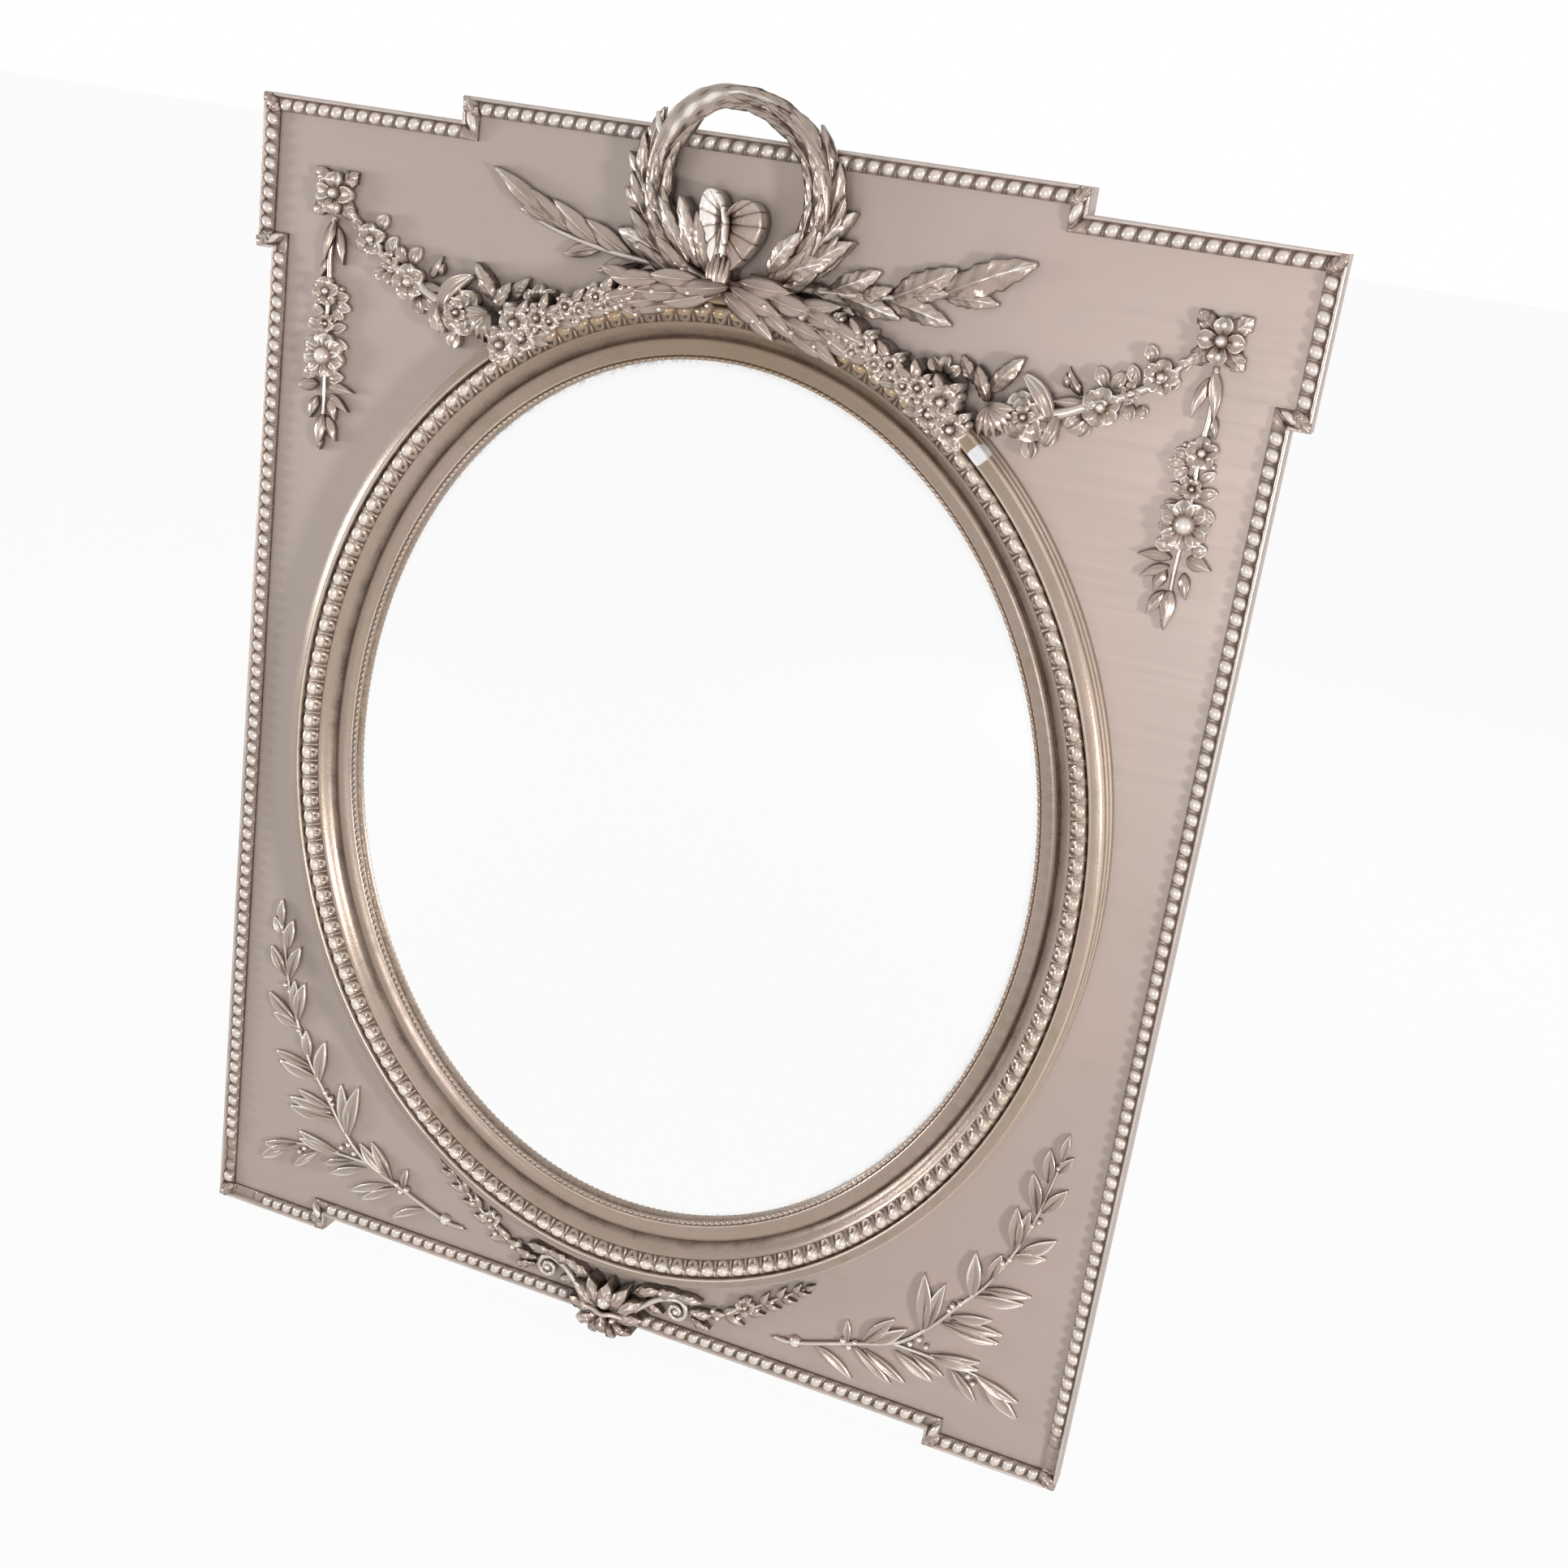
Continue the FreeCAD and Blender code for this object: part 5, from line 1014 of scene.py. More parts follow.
@dataclass
class Garland:
    """A garland from a corner rosette down to the oval, and along the oval's top to the knot."""

    bench: Bench
    half_width: float = 308
    half_height: float = 375.5
    middle: float = 507.5

    def along_oval(self, x: float, offset: float) -> tuple[float, float]:
        """The plan point over x on the upper line that lies the offset (mm) outside the sight edge."""
        wide, tall = self.half_width + offset, self.half_height + offset
        turn = math.acos(min(x * PLAN / wide, 1))
        return x, (self.middle + tall * math.sin(turn)) / PLAN

    def lying_part(self, carver: Carver, side: int) -> None:
        """Lays flowers, leaves and berries over the oval's lip, from the spray to the garland's fall."""
        blooms, leaves, loops, berries = [], [], [], []
        places = (
            (214, 49, 13), (202, 58, 14.5), (193, 45, 12), (180, 54, 9.5), (167, 48, 8), (153, 54, 8), (139, 48, 8),
            (125, 55, 8.5), (110, 49, 8.5), (96, 55, 8.5),
        )  # fmt: skip
        for k, (x, offset, radius) in enumerate(places):
            px, pz = self.along_oval(x, offset)
            blooms.append((px, pz, radius, 5 + k % 2, 31 * k, 25.5 - 0.3 * k, 13.5 - 0.5 * k))
            slope = math.atan2(self.along_oval(x - 4, offset)[1] - self.along_oval(x + 4, offset)[1], -8)
            for lean, long, wide in ((0.5, 25, 10), (-0.6, 24, 10), (0.1, 27, 9), (2.5, 17, 8)):
                heading = slope + lean + 0.15 * (k % 3 - 1)
                root = (px + 3 * math.cos(heading), pz + 3 * math.sin(heading))
                tip = (px + long * math.cos(heading), pz + long * math.sin(heading))
                leaves.append((*root, *tip, wide, 12 * lean, 0.9 * (k % 2) - 0.6 * (k % 3)))
            for lean in (2.2, -2.1):
                heading = slope + lean
                reach = radius + 2
                bx, bz = px + reach * math.cos(heading), pz + reach * math.sin(heading)
                berries.append((bx, bz, 2.9, 23, 34.5 - 0.3 * k))
                out = (reach * math.cos(heading + 0.5), reach * math.sin(heading + 0.5))
                root = (px + 0.5 * out[0], pz + 0.5 * out[1])
                loops.append((*root, px + 1.25 * out[0], pz + 1.25 * out[1], 0.6 * radius, 0, 0))
        carver.leaves(LeafForm.BAY, leaves, Lie(26, 31.5, 29), side)
        carver.leaves(LeafForm.LOOP, loops, Lie(26, 30.5, 29.5), side)
        carver.blooms(blooms, side)
        carver.buds(berries, side)

    def hanging_part(self, carver: Carver, side: int) -> None:
        """The fall from the rosette: small flowers, curled leaves, a rose with its shell of ribbon."""
        carver.stem(
            [(400, 1080, 4), (378, 1056, 5), (352, 1038, 5), (322, 1024, 6), (295, 1012, 8), (262, 1003, 12)],
            5, 2.6, side,
        )
        carver.blooms(
            [(374, 1056, 14.5, 5, 10, 2, 9.5), (330, 1024, 16.5, 6, 25, 2.5, 11.5), (352, 1040, 8.5, 4, 0, 2, 8)],
            side,
        )
        carver.leaves(
            LeafForm.LOOP,
            [(384, 1064, 396, 1072, 10, 0, 1), (366, 1066, 360, 1080, 12, 0, 0.5), (380, 1048, 390, 1056, 9, 0, 0),
             (356, 1044, 348, 1062, 11, 16, 0), (347, 1046, 352, 1060, 8, 0, 0.3), (360, 1030, 368, 1022, 11, 0, 0),
             (352, 1030, 356, 1018, 11, 0, 0.4), (330, 1040, 322, 1056, 13, 10, 0),
             (338, 1040, 344, 1054, 12, -10, 0.4), (322, 1012, 316, 997, 13, 0, 0), (314, 1014, 304, 1002, 12, 0, 0.5),
             (344, 1034, 356, 1034, 9, 0, 0)],
            Lie(3, 6.4, 5),
            side,
        )  # fmt: skip
        carver.leaves(
            LeafForm.LANCE,
            [(318, 1024, 288, 1022, 9, 0, 2), (312, 1030, 298, 1052, 9, -30, 0), (300, 1034, 296, 1046, 7, -20, 0)],
            Lie(3, 8, 5),
            side,
        )
        # the turned-back ribbon beside the rose
        carver.leaves(
            LeafForm.LOOP,
            [(292, 1002, 262, 1040, 13, 58, 4), (294, 1000, 290, 984, 12, -30, 2), (296, 1012, 290, 986, 9, -26, 6)],
            Lie(6, 13, 8),
            side,
        )
        # the rose: three rings of petals, each higher and smaller than the last
        for ring, (radius, lift, turn) in enumerate(((22, 2, 0), (16, 7, 36), (10, 12, 10))):
            carver.blooms([(270, 1006, radius, 6 - ring, turn, lift, 11.5)], side)
        carver.leaves(LeafForm.PETAL, [(274, 990, 279, 972, 14, 0, 2)], Lie(3, 6, 5), side)
        # the fluted shell that ends the fall
        shell = []
        for k in range(7):
            heading = math.radians(-100 + 17 * k)
            tip = (238 + 27 * math.cos(heading), 1010 + 27 * math.sin(heading))
            shell.append((238, 1010, *tip, 9.4, 0, 0.3 * (k % 2)))
        carver.leaves(LeafForm.LANCE, shell, Lie(17, 23, 15), side)
        carver.leaves(
            LeafForm.LAUREL,
            [(236, 1020, 260, 1052, 17, -10, 3), (222, 1024, 206, 1046, 13, 10, 0), (236, 1012, 222, 1040, 14, 0, 4)],
            Lie(5, 11, 7),
            side,
        )
        carver.leaves(
            LeafForm.PETAL,
            [(190, 1026, 180, 1040, 10, 0, 0), (192, 1028, 194, 1043, 10, 0, 0.3), (196, 1026, 207, 1036, 10, 0, 0)],
            Lie(5, 11, 8),
            side,
        )

    def build(self) -> None:
        """Makes the right garland and its like on the left."""
        for side, name in ((1, "right"), (-1, "left")):
            carver = Carver(self.bench, 70 + side)
            self.lying_part(carver, side)
            self.hanging_part(carver, side)
            carver.finish(f"garland_{name}_blooms", "gilt_carving", f"garland_{name}")


@dataclass
class OliveSprig:
    """The olive sprig in a lower corner: a long stem, a low branch, slim leaves and berries."""

    bench: Bench
    main: tuple[tuple[float, float, float], ...] = (
        (180, 59, 1.6), (202, 61, 2.4), (254, 80, 2.6), (302, 99, 2.8), (330, 124, 2.8), (357, 161, 2.8),
        (378, 190, 2.6), (392, 217, 2.6), (403, 245, 2.4), (412, 272, 2.4), (420, 310, 2.2), (426, 345, 2)
    )  # fmt: skip
    low: tuple[tuple[float, float, float], ...] = ((300, 98, 2.6), (340, 97, 2.4), (385, 94, 2.2), (420, 84, 2))
    leaves: tuple[tuple[float, ...], ...] = (
        (222, 66, 266, 42, 8, -36, 0), (255, 80, 252, 106, 7, 14, 0), (270, 86, 298, 124, 13, -8, 0),
        (276, 90, 312, 118, 12, 8, 0), (262, 80, 306, 52, 9, -8, 0.4), (274, 80, 320, 58, 9, -10, 0),
        (328, 118, 319, 184, 15, 12, 0.6), (330, 122, 341, 180, 13, -10, 0), (304, 90, 346, 71, 9, -8, 0.4),
        (338, 98, 388, 109, 10, 8, 0.4), (340, 97, 388, 100, 9, -6, 0), (362, 92, 392, 64, 9, -10, 0),
        (320, 94, 356, 80, 8, -8, 0), (394, 90, 434, 62, 12, -8, 0.6), (386, 94, 432, 80, 11, 8, 0.3),
        (345, 138, 402, 136, 11, 10, 0.5), (352, 142, 404, 146, 10, -8, 0), (352, 148, 392, 158, 9, 6, 0),
        (368, 174, 364, 224, 14, 12, 0.6), (382, 198, 389, 230, 11, -8, 0), (370, 178, 418, 186, 11, 10, 0.5),
        (378, 188, 424, 196, 9, -8, 0), (399, 238, 394, 284, 14, 12, 0.6), (402, 242, 407, 284, 11, -8, 0.2),
        (404, 238, 436, 262, 12, 12, 0.4), (398, 232, 430, 240, 10, -8, 0), (413, 284, 402, 324, 13, 12, 0.5),
        (418, 286, 437, 316, 12, -8, 0.3), (417, 318, 413, 352, 12, 10, 0.4), (424, 330, 436, 350, 9, -10, 0),
        (426, 342, 428, 372, 8, 0, 0.3),
    )  # fmt: skip
    berries: tuple[tuple[float, ...], ...] = (
        (202, 61.5, 7.2, 0.5, 6.2), (251, 82, 4, 1, 6), (258, 77, 3.8, 1, 5.6), (263, 84, 3.4, 1, 5.4),
        (318, 104, 3.6, 1, 5.8), (326, 112, 3.6, 1, 5.8), (334, 106, 3.2, 1, 5.4), (352, 160, 3.6, 1, 6),
        (359, 165, 3.6, 1, 6), (349, 154, 3, 1, 5.4), (391, 222, 3.6, 1, 6), (397, 228, 3.4, 1, 5.8),
        (411, 270, 3.4, 1, 6), (417, 276, 3.2, 1, 5.6), (380, 90, 3.4, 1, 5.6), (386, 84, 3.2, 1, 5.4),
        (424, 336, 2.8, 1, 5),
    )  # fmt: skip

    def build(self) -> None:
        """Makes the right sprig and its like on the left."""
        for side, name in ((1, "right"), (-1, "left")):
            carver = Carver(self.bench, 80 + side)
            carver.stem(self.main, 1.1, 2.1, side)
            carver.stem(self.low, 0.9, 1.7, side)
            carver.leaves(LeafForm.OLIVE, self.leaves, Lie(2.2, 4.6, 3.2), side)
            carver.leaves(LeafForm.LANCE, [(196, 60, 176, 58, 5, 0, 0)], Lie(2, 2.6, 1.4), side)
            carver.buds(self.berries, side)
            carver.finish(f"olive_sprig_{name}_leaves", "gilt_carving", f"olive_sprig_{name}")


@dataclass
class BasePalmette:
    """The palmette under the oval, with a leaf that laps up over the oval's outer reeds."""

    bench: Bench

    def build(self) -> None:
        """A fan of acanthus lobes, a band of small balls and a pointed leaf below."""
        carver = Carver(self.bench, 90)
        lobes = [
            (0, 34, 0, 66, 20, 0, 3), (-5, 34, -22, 66, 17, 12, 2), (5, 34, 22, 66, 17, -12, 2),
            (-8, 32, -38, 54, 17, 16, 1), (8, 32, 38, 54, 17, -16, 1), (-8, 28, -42, 34, 15, 14, 0.4),
            (8, 28, 42, 34, 15, -14, 0.4), (-6, 24, -32, 14, 14, -10, 0.6), (6, 24, 32, 14, 14, 10, 0.6),
            (-3, 22, -14, 4, 13, 0, 1), (3, 22, 14, 4, 13, 0, 1),
        ]  # fmt: skip
        carver.leaves(LeafForm.ACANTHUS, lobes, Lie(13, 21, 15))
        carver.leaves(LeafForm.ACANTHUS, [(0, 30, 0, 4, 16, 0, 0)], Lie(20, 25, 14))
        balls = [
            (0, 46, 10, 12, 28), (-11, 27, 4.2, 14, 24), (11, 27, 4.2, 14, 24), (-20, 30, 3.6, 12, 21),
            (20, 30, 3.6, 12, 21),
        ]  # fmt: skip
        carver.buds(balls, lobes=5)
        carver.stem([(-30, 31, 17), (-12, 35, 22), (0, 33, 24), (12, 35, 22), (30, 31, 17)], 2.2, 2.2)
        carver.finish("base_palmette_lobes", "gilt_carving", "base_palmette")


@dataclass
class BaseScroll:
    """The scroll, leaf strap and chain of husks beside the palmette."""

    bench: Bench
    turns: float = 1.35

    def volute(self, x: float, z: float, reach: float) -> list[tuple[float, float, float]]:
        """A spiral path (x, z, rise): radius shrinks with the turn from reach to a third of it."""
        path = []
        for k in range(11):
            share = k / 10
            angle = math.radians(100) - 2 * math.pi * self.turns * share
            radius = reach * (1 - 0.68 * share)
            path.append((x + radius * math.cos(angle), z + radius * math.sin(angle), 5 + 3.5 * share))
        return path

    def build(self) -> None:
        """Makes the right scroll and its like on the left."""
        for side, name in ((1, "right"), (-1, "left")):
            carver = Carver(self.bench, 95 + side)
            strap = [(30, 40, 11), (42, 52, 10), (56, 62, 8)]
            carver.stem(strap + self.volute(74, 53, 12), 1.6, 3.0, side)
            carver.buds([(74, 53, 4.6, 2, 11.5)], side)
            carver.leaves(
                LeafForm.ACANTHUS,
                [(24, 58, 54, 71, 14, -10, 3), (46, 66, 76, 73, 13, -8, 2), (68, 70, 100, 72, 12, -10, 1),
                 (36, 54, 60, 44, 11, 10, 0), (88, 58, 112, 62, 12, 10, 1), (90, 50, 112, 44, 10, -10, 0)],
                Lie(5, 9.5, 6.5),
                side,
            )  # fmt: skip
            carver.stem([(100, 60, 3), (128, 68, 3), (150, 82, 3), (180, 106, 3), (206, 126, 2.4)], 1.0, 1.9, side)
            husks = []
            for x, z, long, degrees in (
                (104, 59, 26, 18), (122, 63, 24, 44), (124, 66, 24, -12), (143, 75, 22, 70), (146, 78, 22, 10),
                (160, 90, 20, 66), (163, 92, 20, 6), (176, 103, 19, 64), (179, 105, 19, 8), (192, 115, 17, 62),
                (194, 117, 17, 16), (203, 124, 14, 40),
            ):  # fmt: skip
                heading = math.radians(degrees)
                husks.append((x, z, x + long * math.cos(heading), z + long * math.sin(heading), 0.42 * long, 0, 0))
            carver.leaves(LeafForm.LANCE, husks, Lie(3, 6.4, 4), side)
            carver.blooms([(146, 84, 10, 5, 20, 1.5, 8)], side)
            berries = [
                (118, 60, 4, 1, 7.5), (112, 66, 3.4, 1, 7), (140, 68, 3.6, 1, 7), (158, 84, 3.2, 1, 6.5),
                (172, 98, 3, 1, 6), (186, 110, 2.8, 1, 6),
            ]
            carver.buds(berries, side)
            carver.finish(f"base_scroll_{name}_leaves", "gilt_carving", f"base_scroll_{name}")


# ----------------------------------------------------------------- materials


class Signal:
    """A shader socket on which arithmetic adds Math nodes."""

    def __init__(self, graph: "Graph", socket: bpy.types.NodeSocket) -> None:
        """Wraps a socket of one of the graph's nodes."""
        self.graph = graph
        self.socket = socket

    def _math(self, operation: str, *others: Any) -> "Signal":
        """A Math node on this signal and up to two more values."""
        return self.graph.math(operation, self, *others)

    def __add__(self, other: Any) -> "Signal":
        """self + other."""
        return self._math("ADD", other)

    __radd__ = __add__

    def __sub__(self, other: Any) -> "Signal":
        """self - other."""
        return self._math("SUBTRACT", other)

    def __rsub__(self, other: Any) -> "Signal":
        """other - self."""
        return self.graph.math("SUBTRACT", other, self)

    def __mul__(self, other: Any) -> "Signal":
        """self * other."""
        return self._math("MULTIPLY", other)

    __rmul__ = __mul__

    def __truediv__(self, other: Any) -> "Signal":
        """self / other."""
        return self._math("DIVIDE", other)

    def __pow__(self, other: Any) -> "Signal":
        """self to the power of other."""
        return self._math("POWER", other)

    def step(self, low: float, high: float) -> "Signal":
        """0 below low, 1 above high and smooth between."""
        values = {"Value": self, "From Min": low, "From Max": high}
        return self.graph.node("ShaderNodeMapRange", {"interpolation_type": "SMOOTHSTEP"}, values)["Result"]


class Outputs:
    """The outputs of one node, by name, as signals."""

    def __init__(self, graph: "Graph", node: bpy.types.Node) -> None:
        """Wraps a node of the graph."""
        self.graph = graph
        self.node = node

    def __getitem__(self, name: Any) -> Signal:
        """The output of that name or number."""
        return Signal(self.graph, self.node.outputs[name])


class Graph:
    """A shader's node tree, emptied, and the nodes that are put into it."""

    def __init__(self, tree: bpy.types.NodeTree) -> None:
        """Empties the tree."""
        self.tree = tree
        tree.nodes.clear()

    def node(self, kind: str, settings: dict[str, Any], values: dict[Any, Any]) -> Outputs:
        """Makes a node of a type.

        Args:
            kind: Blender's name of the type.
            settings: the node's own settings, set first.
            values: what its inputs take, by name or number: a number, a tuple or a signal.

        Returns:
            Its outputs.
        """
        node = self.tree.nodes.new(kind)
        for key, value in settings.items():
            setattr(node, key, value)
        for key, value in values.items():
            if isinstance(value, Signal):
                self.tree.links.new(value.socket, node.inputs[key])
            else:
                node.inputs[key].default_value = value
        return Outputs(self, node)

    def math(self, operation: str, *values: Any) -> Signal:
        """A Math node on numbers and signals."""
        return self.node("ShaderNodeMath", {"operation": operation}, dict(enumerate(values)))[0]

    def shown(self, rays: Outputs) -> Signal:
        """1 for what the camera sees by itself, in a reflection or through glass, and 0 for other light."""
        direct = self.math("MAXIMUM", rays["Is Camera Ray"], rays["Is Glossy Ray"])
        return self.math("MAXIMUM", direct, rays["Is Transmission Ray"])


class Palette(Graph):
    """A material and the nodes that are put into it."""

    def __init__(self, name: str) -> None:
        """Starts a material with no nodes."""
        self.material = bpy.data.materials.new(name)
        self.material.use_nodes = True
        super().__init__(self.material.node_tree)

    def place(self) -> Signal:
        """Object coordinates, in metres."""
        return self.node("ShaderNodeTexCoord", {}, {})["Object"]

    def split(self, vector: Signal) -> Outputs:
        """The X, Y and Z of a vector."""
        return self.node("ShaderNodeSeparateXYZ", {}, {0: vector})

    def stretched(self, scale: tuple[float, float, float]) -> Signal:
        """Object coordinates scaled by three numbers."""
        return self.node("ShaderNodeMapping", {}, {"Vector": self.place(), "Scale": scale})[0]

    def noise(self, vector: Signal, scale: float, detail: float = 3.0, rough: float = 0.55) -> Signal:
        """Noise of 0 to 1 about a half."""
        values = {"Vector": vector, "Scale": scale, "Detail": detail, "Roughness": rough}
        return self.node("ShaderNodeTexNoise", {}, values)[0]

    def tone(self) -> Signal:
        """The carving's tone attribute: 0 in the hollows, painted shade with some dirt, to 1 on the crests, a painted
        highlight.
        """
        return self.node("ShaderNodeAttribute", {"attribute_name": "tone"}, {})["Fac"]

    def mix(self, share: Any, one: Any, other: Any, blend: str = "MIX") -> Signal:
        """One colour turning into another by a share."""
        values = {0: share, 6: as_colour(one), 7: as_colour(other)}
        return self.node("ShaderNodeMix", {"data_type": "RGBA", "blend_type": blend}, values)[2]

    def bump(self, height: Signal, strength: float, distance: float) -> Signal:
        """A bump normal from a height."""
        values = {"Height": height, "Strength": strength, "Distance": distance}
        return self.node("ShaderNodeBump", {}, values)["Normal"]

    def shaded(self, shader: Signal) -> bpy.types.Material:
        """Puts a shader on the material's output and gives back the material."""
        self.node("ShaderNodeOutputMaterial", {}, {"Surface": shader})
        return self.material

    def surface(self, values: dict[str, Any]) -> bpy.types.Material:
        """Puts a Principled shader on the output and gives back the material."""
        return self.shaded(self.node("ShaderNodeBsdfPrincipled", {}, values)[0])


def as_colour(value: Any) -> Any:
    """A colour written as 0 to 255 in sRGB, as the linear numbers that a socket takes."""
    if isinstance(value, Signal):
        return value
    linear = [(c / 255 / 12.92 if c <= 10 else ((c / 255 + 0.055) / 1.055) ** 2.4) for c in value]
    return (*linear, 1.0)


Colour = tuple[float, float, float]
PINE_PALE: Colour = (176, 138, 96)
PINE_DARK: Colour = (138, 100, 64)


@dataclass(frozen=True)
class Gilt:
    """Satin metal leaf, painted brown in the hollows as shade and some dirt, and painted bright on the crests as a
    highlight.
    """

    name: str
    hollow: Colour
    body: Colour
    crest: Colour
    warm: Colour
    cool: Colour
    metal: float = 0.32
    rough: float = 0.32
    # share of the painted highlight on the crests
    crest_highlight: float = 0.85
    # dull: heights in metres above which the oval's top is painted in shade, with duller crests and a darker body
    dull: tuple[float, float] | None = None  # heights in metres between which the crests turn from bright to dull
    white_spot: tuple[float, float, float] | None = None  # X and Z in metres and heading of a small white spot on the lip
    white_spot_half: tuple[float, float] = (0.0066, 0.0062)
    spot_colour: Colour = (240, 241, 245)
    shaded_crest: Colour = (182, 157, 124)
    shaded_body: Colour = (126, 104, 76)
    # the right side is partly painted in shade as well
    shade_side: tuple[float, float] = (0.2, 0.34)  # X in metres between which the right side turns partly dull

    def made(self) -> bpy.types.Material:
        """Makes the material: tone sets the colour, painted shade in the hollows and a painted highlight on the crests,
        and noise mottles it.

        The white spot is where (along / half)^4 + (across / half)^4 is under about 1, a square with round corners.
        """
        palette = Palette(self.name)
        spot = palette.place()
        broad = palette.noise(spot, 7, 3)
        cloud = palette.noise(spot, 45, 4)
        grain = palette.noise(spot, 520, 2)
        tone = palette.tone() + (cloud - 0.5) * 0.3 + (grain - 0.5) * 0.14
        body = palette.mix(broad.step(0.42, 0.66), self.body, self.warm)
        body = palette.mix(cloud.step(0.5, 0.75) * 0.6, body, self.cool)
        crest = self.crest
        axes = palette.split(spot) if self.dull or self.white_spot else None
        # The oval's top, and partly its right side, are painted darker as shade: the crests duller and the body
        # browner.
        if self.dull:
            upper = axes["Z"].step(*self.dull)
            wear_and_shade = upper + (1 - upper) * axes["X"].step(*self.shade_side) * 0.45
            crest = palette.mix(wear_and_shade, self.crest, self.shaded_crest)
            body = palette.mix(upper * 0.5, body, self.shaded_body)
        # Tone paints the hollows dark, as shade and some dirt, and the crests bright, as a highlight.
        colour = palette.mix(tone.step(-0.04, 0.34), self.hollow, body)
        colour = palette.mix(tone.step(0.5, 0.95) * self.crest_highlight, colour, crest)
        # a small white square spot painted on the oval's lip
        if self.white_spot:
            x, z, heading = self.white_spot
            east, north = axes["X"] - x, axes["Z"] - z
            along = (east * math.cos(heading) + north * math.sin(heading)) / self.white_spot_half[0]
            across = (north * math.cos(heading) - east * math.sin(heading)) / self.white_spot_half[1]
            colour = palette.mix(1 - (along**4 + across**4).step(0.7, 1.1), colour, self.spot_colour)
        rough = self.rough + (cloud - 0.5) * 0.25 - tone.step(0.5, 1.0) * 0.1
        height = cloud * 0.6 + grain * 0.4
        return palette.surface(
            {
                "Base Color": colour,
                "Metallic": self.metal,
                "Roughness": rough,
                "Normal": palette.bump(height, 0.35, 0.0006),
            }
        )


@dataclass(frozen=True)
class GiltField:
    """The flat panel: brushed satin paint over a chalk ground in front and at the edges, bare wood behind."""

    name: str
    body: Colour
    warm: Colour
    cool: Colour
    stain: Colour
    wood: Colour
    ring: Colour = (112, 80, 52)

    def made(self) -> bpy.types.Material:
        """Makes the material: brush marks and clouds in front, grain behind."""
        palette = Palette(self.name)
        spot = palette.place()
        broad = palette.noise(spot, 3.2, 4)
        cloud = palette.noise(spot, 16, 5, 0.6)
        brush = palette.noise(palette.stretched((5, 5, 160)), 1.0, 3)
        cross = palette.noise(palette.stretched((120, 5, 6)), 1.0, 3)
        grain = palette.noise(spot, 650, 2)
        depth = palette.split(spot)
        face = palette.mix(broad.step(0.38, 0.62), self.body, self.warm)
        face = palette.mix(cloud.step(0.52, 0.78) * 0.55, face, self.cool)
        face = palette.mix((cloud * brush).step(0.34, 0.5) * 0.22, face, self.stain)
        rings = palette.noise(palette.stretched((30, 30, 1.6)), 1.6, 5)
        wood = palette.mix(rings.step(0.35, 0.7), self.wood, self.ring)
        behind = depth["Y"].step(PANEL_BACK - 0.0012, PANEL_BACK - 0.0004)
        height = brush * 0.4 + cross * 0.35 + grain * 0.25
        return palette.surface(
            {
                "Base Color": palette.mix(behind, face, wood),
                "Metallic": (1 - behind) * 0.3,
                "Roughness": 0.44 + (brush - 0.5) * 0.16 + behind * 0.3,
                "Normal": palette.bump(height, 0.22, 0.0005),
            }
        )


@dataclass(frozen=True)
class Silvering:
    """Old silvered glass, painted a little grey where the oval meets it as the frame's shadow, and speckled there with
    tarnish.
    """

    name: str
    half_width: float
    half_height: float
    middle: float
    clear: Colour = (254, 254, 254)
    tarnish_and_shadow: Colour = (150, 146, 138)

    def made(self) -> bpy.types.Material:
        """Makes the material: a clear mirror whose rim is painted darker, as the frame's shadow, within a few
        millimetres of the frame.

        The rim is where (X / half width)^2 + (Z / half height)^2 nears 1, measured from the oval's middle.
        """
        palette = Palette(self.name)
        spot = palette.place()
        axes = palette.split(spot)
        speck = palette.noise(spot, 240, 4, 0.7)
        cloud = palette.noise(spot, 9, 3)
        wide, tall = axes["X"] / self.half_width, (axes["Z"] - self.middle) / self.half_height
        rim = (wide**2 + tall**2).step(0.955, 1.0)
        spots = (speck + rim * 0.35).step(0.78, 0.9) * rim
        # rim * 0.12 paints the frame's shadow on the glass; the spots are tarnish
        colour = palette.mix(rim * 0.12 + spots * 0.3, self.clear, self.tarnish_and_shadow)
        return palette.surface({"Base Color": colour, "Metallic": 1.0, "Roughness": 0.015 + cloud * 0.02 + spots * 0.3})


@dataclass(frozen=True)
class Timber:
    """Planed softwood, darkened by age, with its grain along one axis."""

    name: str
    light: Colour
    dark: Colour
    stretch: tuple[float, float, float]  # scales of the rings along X, Y and Z, least along the grain
    stain: Colour = (84, 62, 42)

    def made(self) -> bpy.types.Material:
        """Makes the material: long noise for the year rings and short noise for the pores."""
        palette = Palette(self.name)
        rings = palette.noise(palette.stretched(self.stretch), 1.0, 5, 0.6)
        pores = palette.noise(palette.stretched(tuple(6 * s for s in self.stretch)), 1.0, 2)
        patches = palette.noise(palette.place(), 6, 3)
        colour = palette.mix(rings.step(0.35, 0.68), self.light, self.dark)
        colour = palette.mix(patches.step(0.5, 0.8) * 0.35, colour, self.stain)
        height = rings * 0.6 + pores * 0.4
        return palette.surface(
            {"Base Color": colour, "Roughness": 0.62 + (pores - 0.5) * 0.3, "Normal": palette.bump(height, 0.4, 0.0006)}
        )


@dataclass(frozen=True)
class DullSteel:
    """Zinc-plated steel that has gone dull."""

    name: str
    bright: Colour
    dull: Colour

    def made(self) -> bpy.types.Material:
        """Makes the material: crystal patches in the zinc and fine scratches."""
        palette = Palette(self.name)
        spot = palette.place()
        patches = palette.noise(spot, 130, 3)
        scratch = palette.noise(palette.stretched((900, 900, 60)), 1.0, 2)
        colour = palette.mix(patches.step(0.35, 0.7), self.bright, self.dull)
        return palette.surface(
            {
                "Base Color": colour,
                "Metallic": 0.9,
                "Roughness": 0.36 + patches * 0.22,
                "Normal": palette.bump(scratch, 0.2, 0.0002),
            }
        )


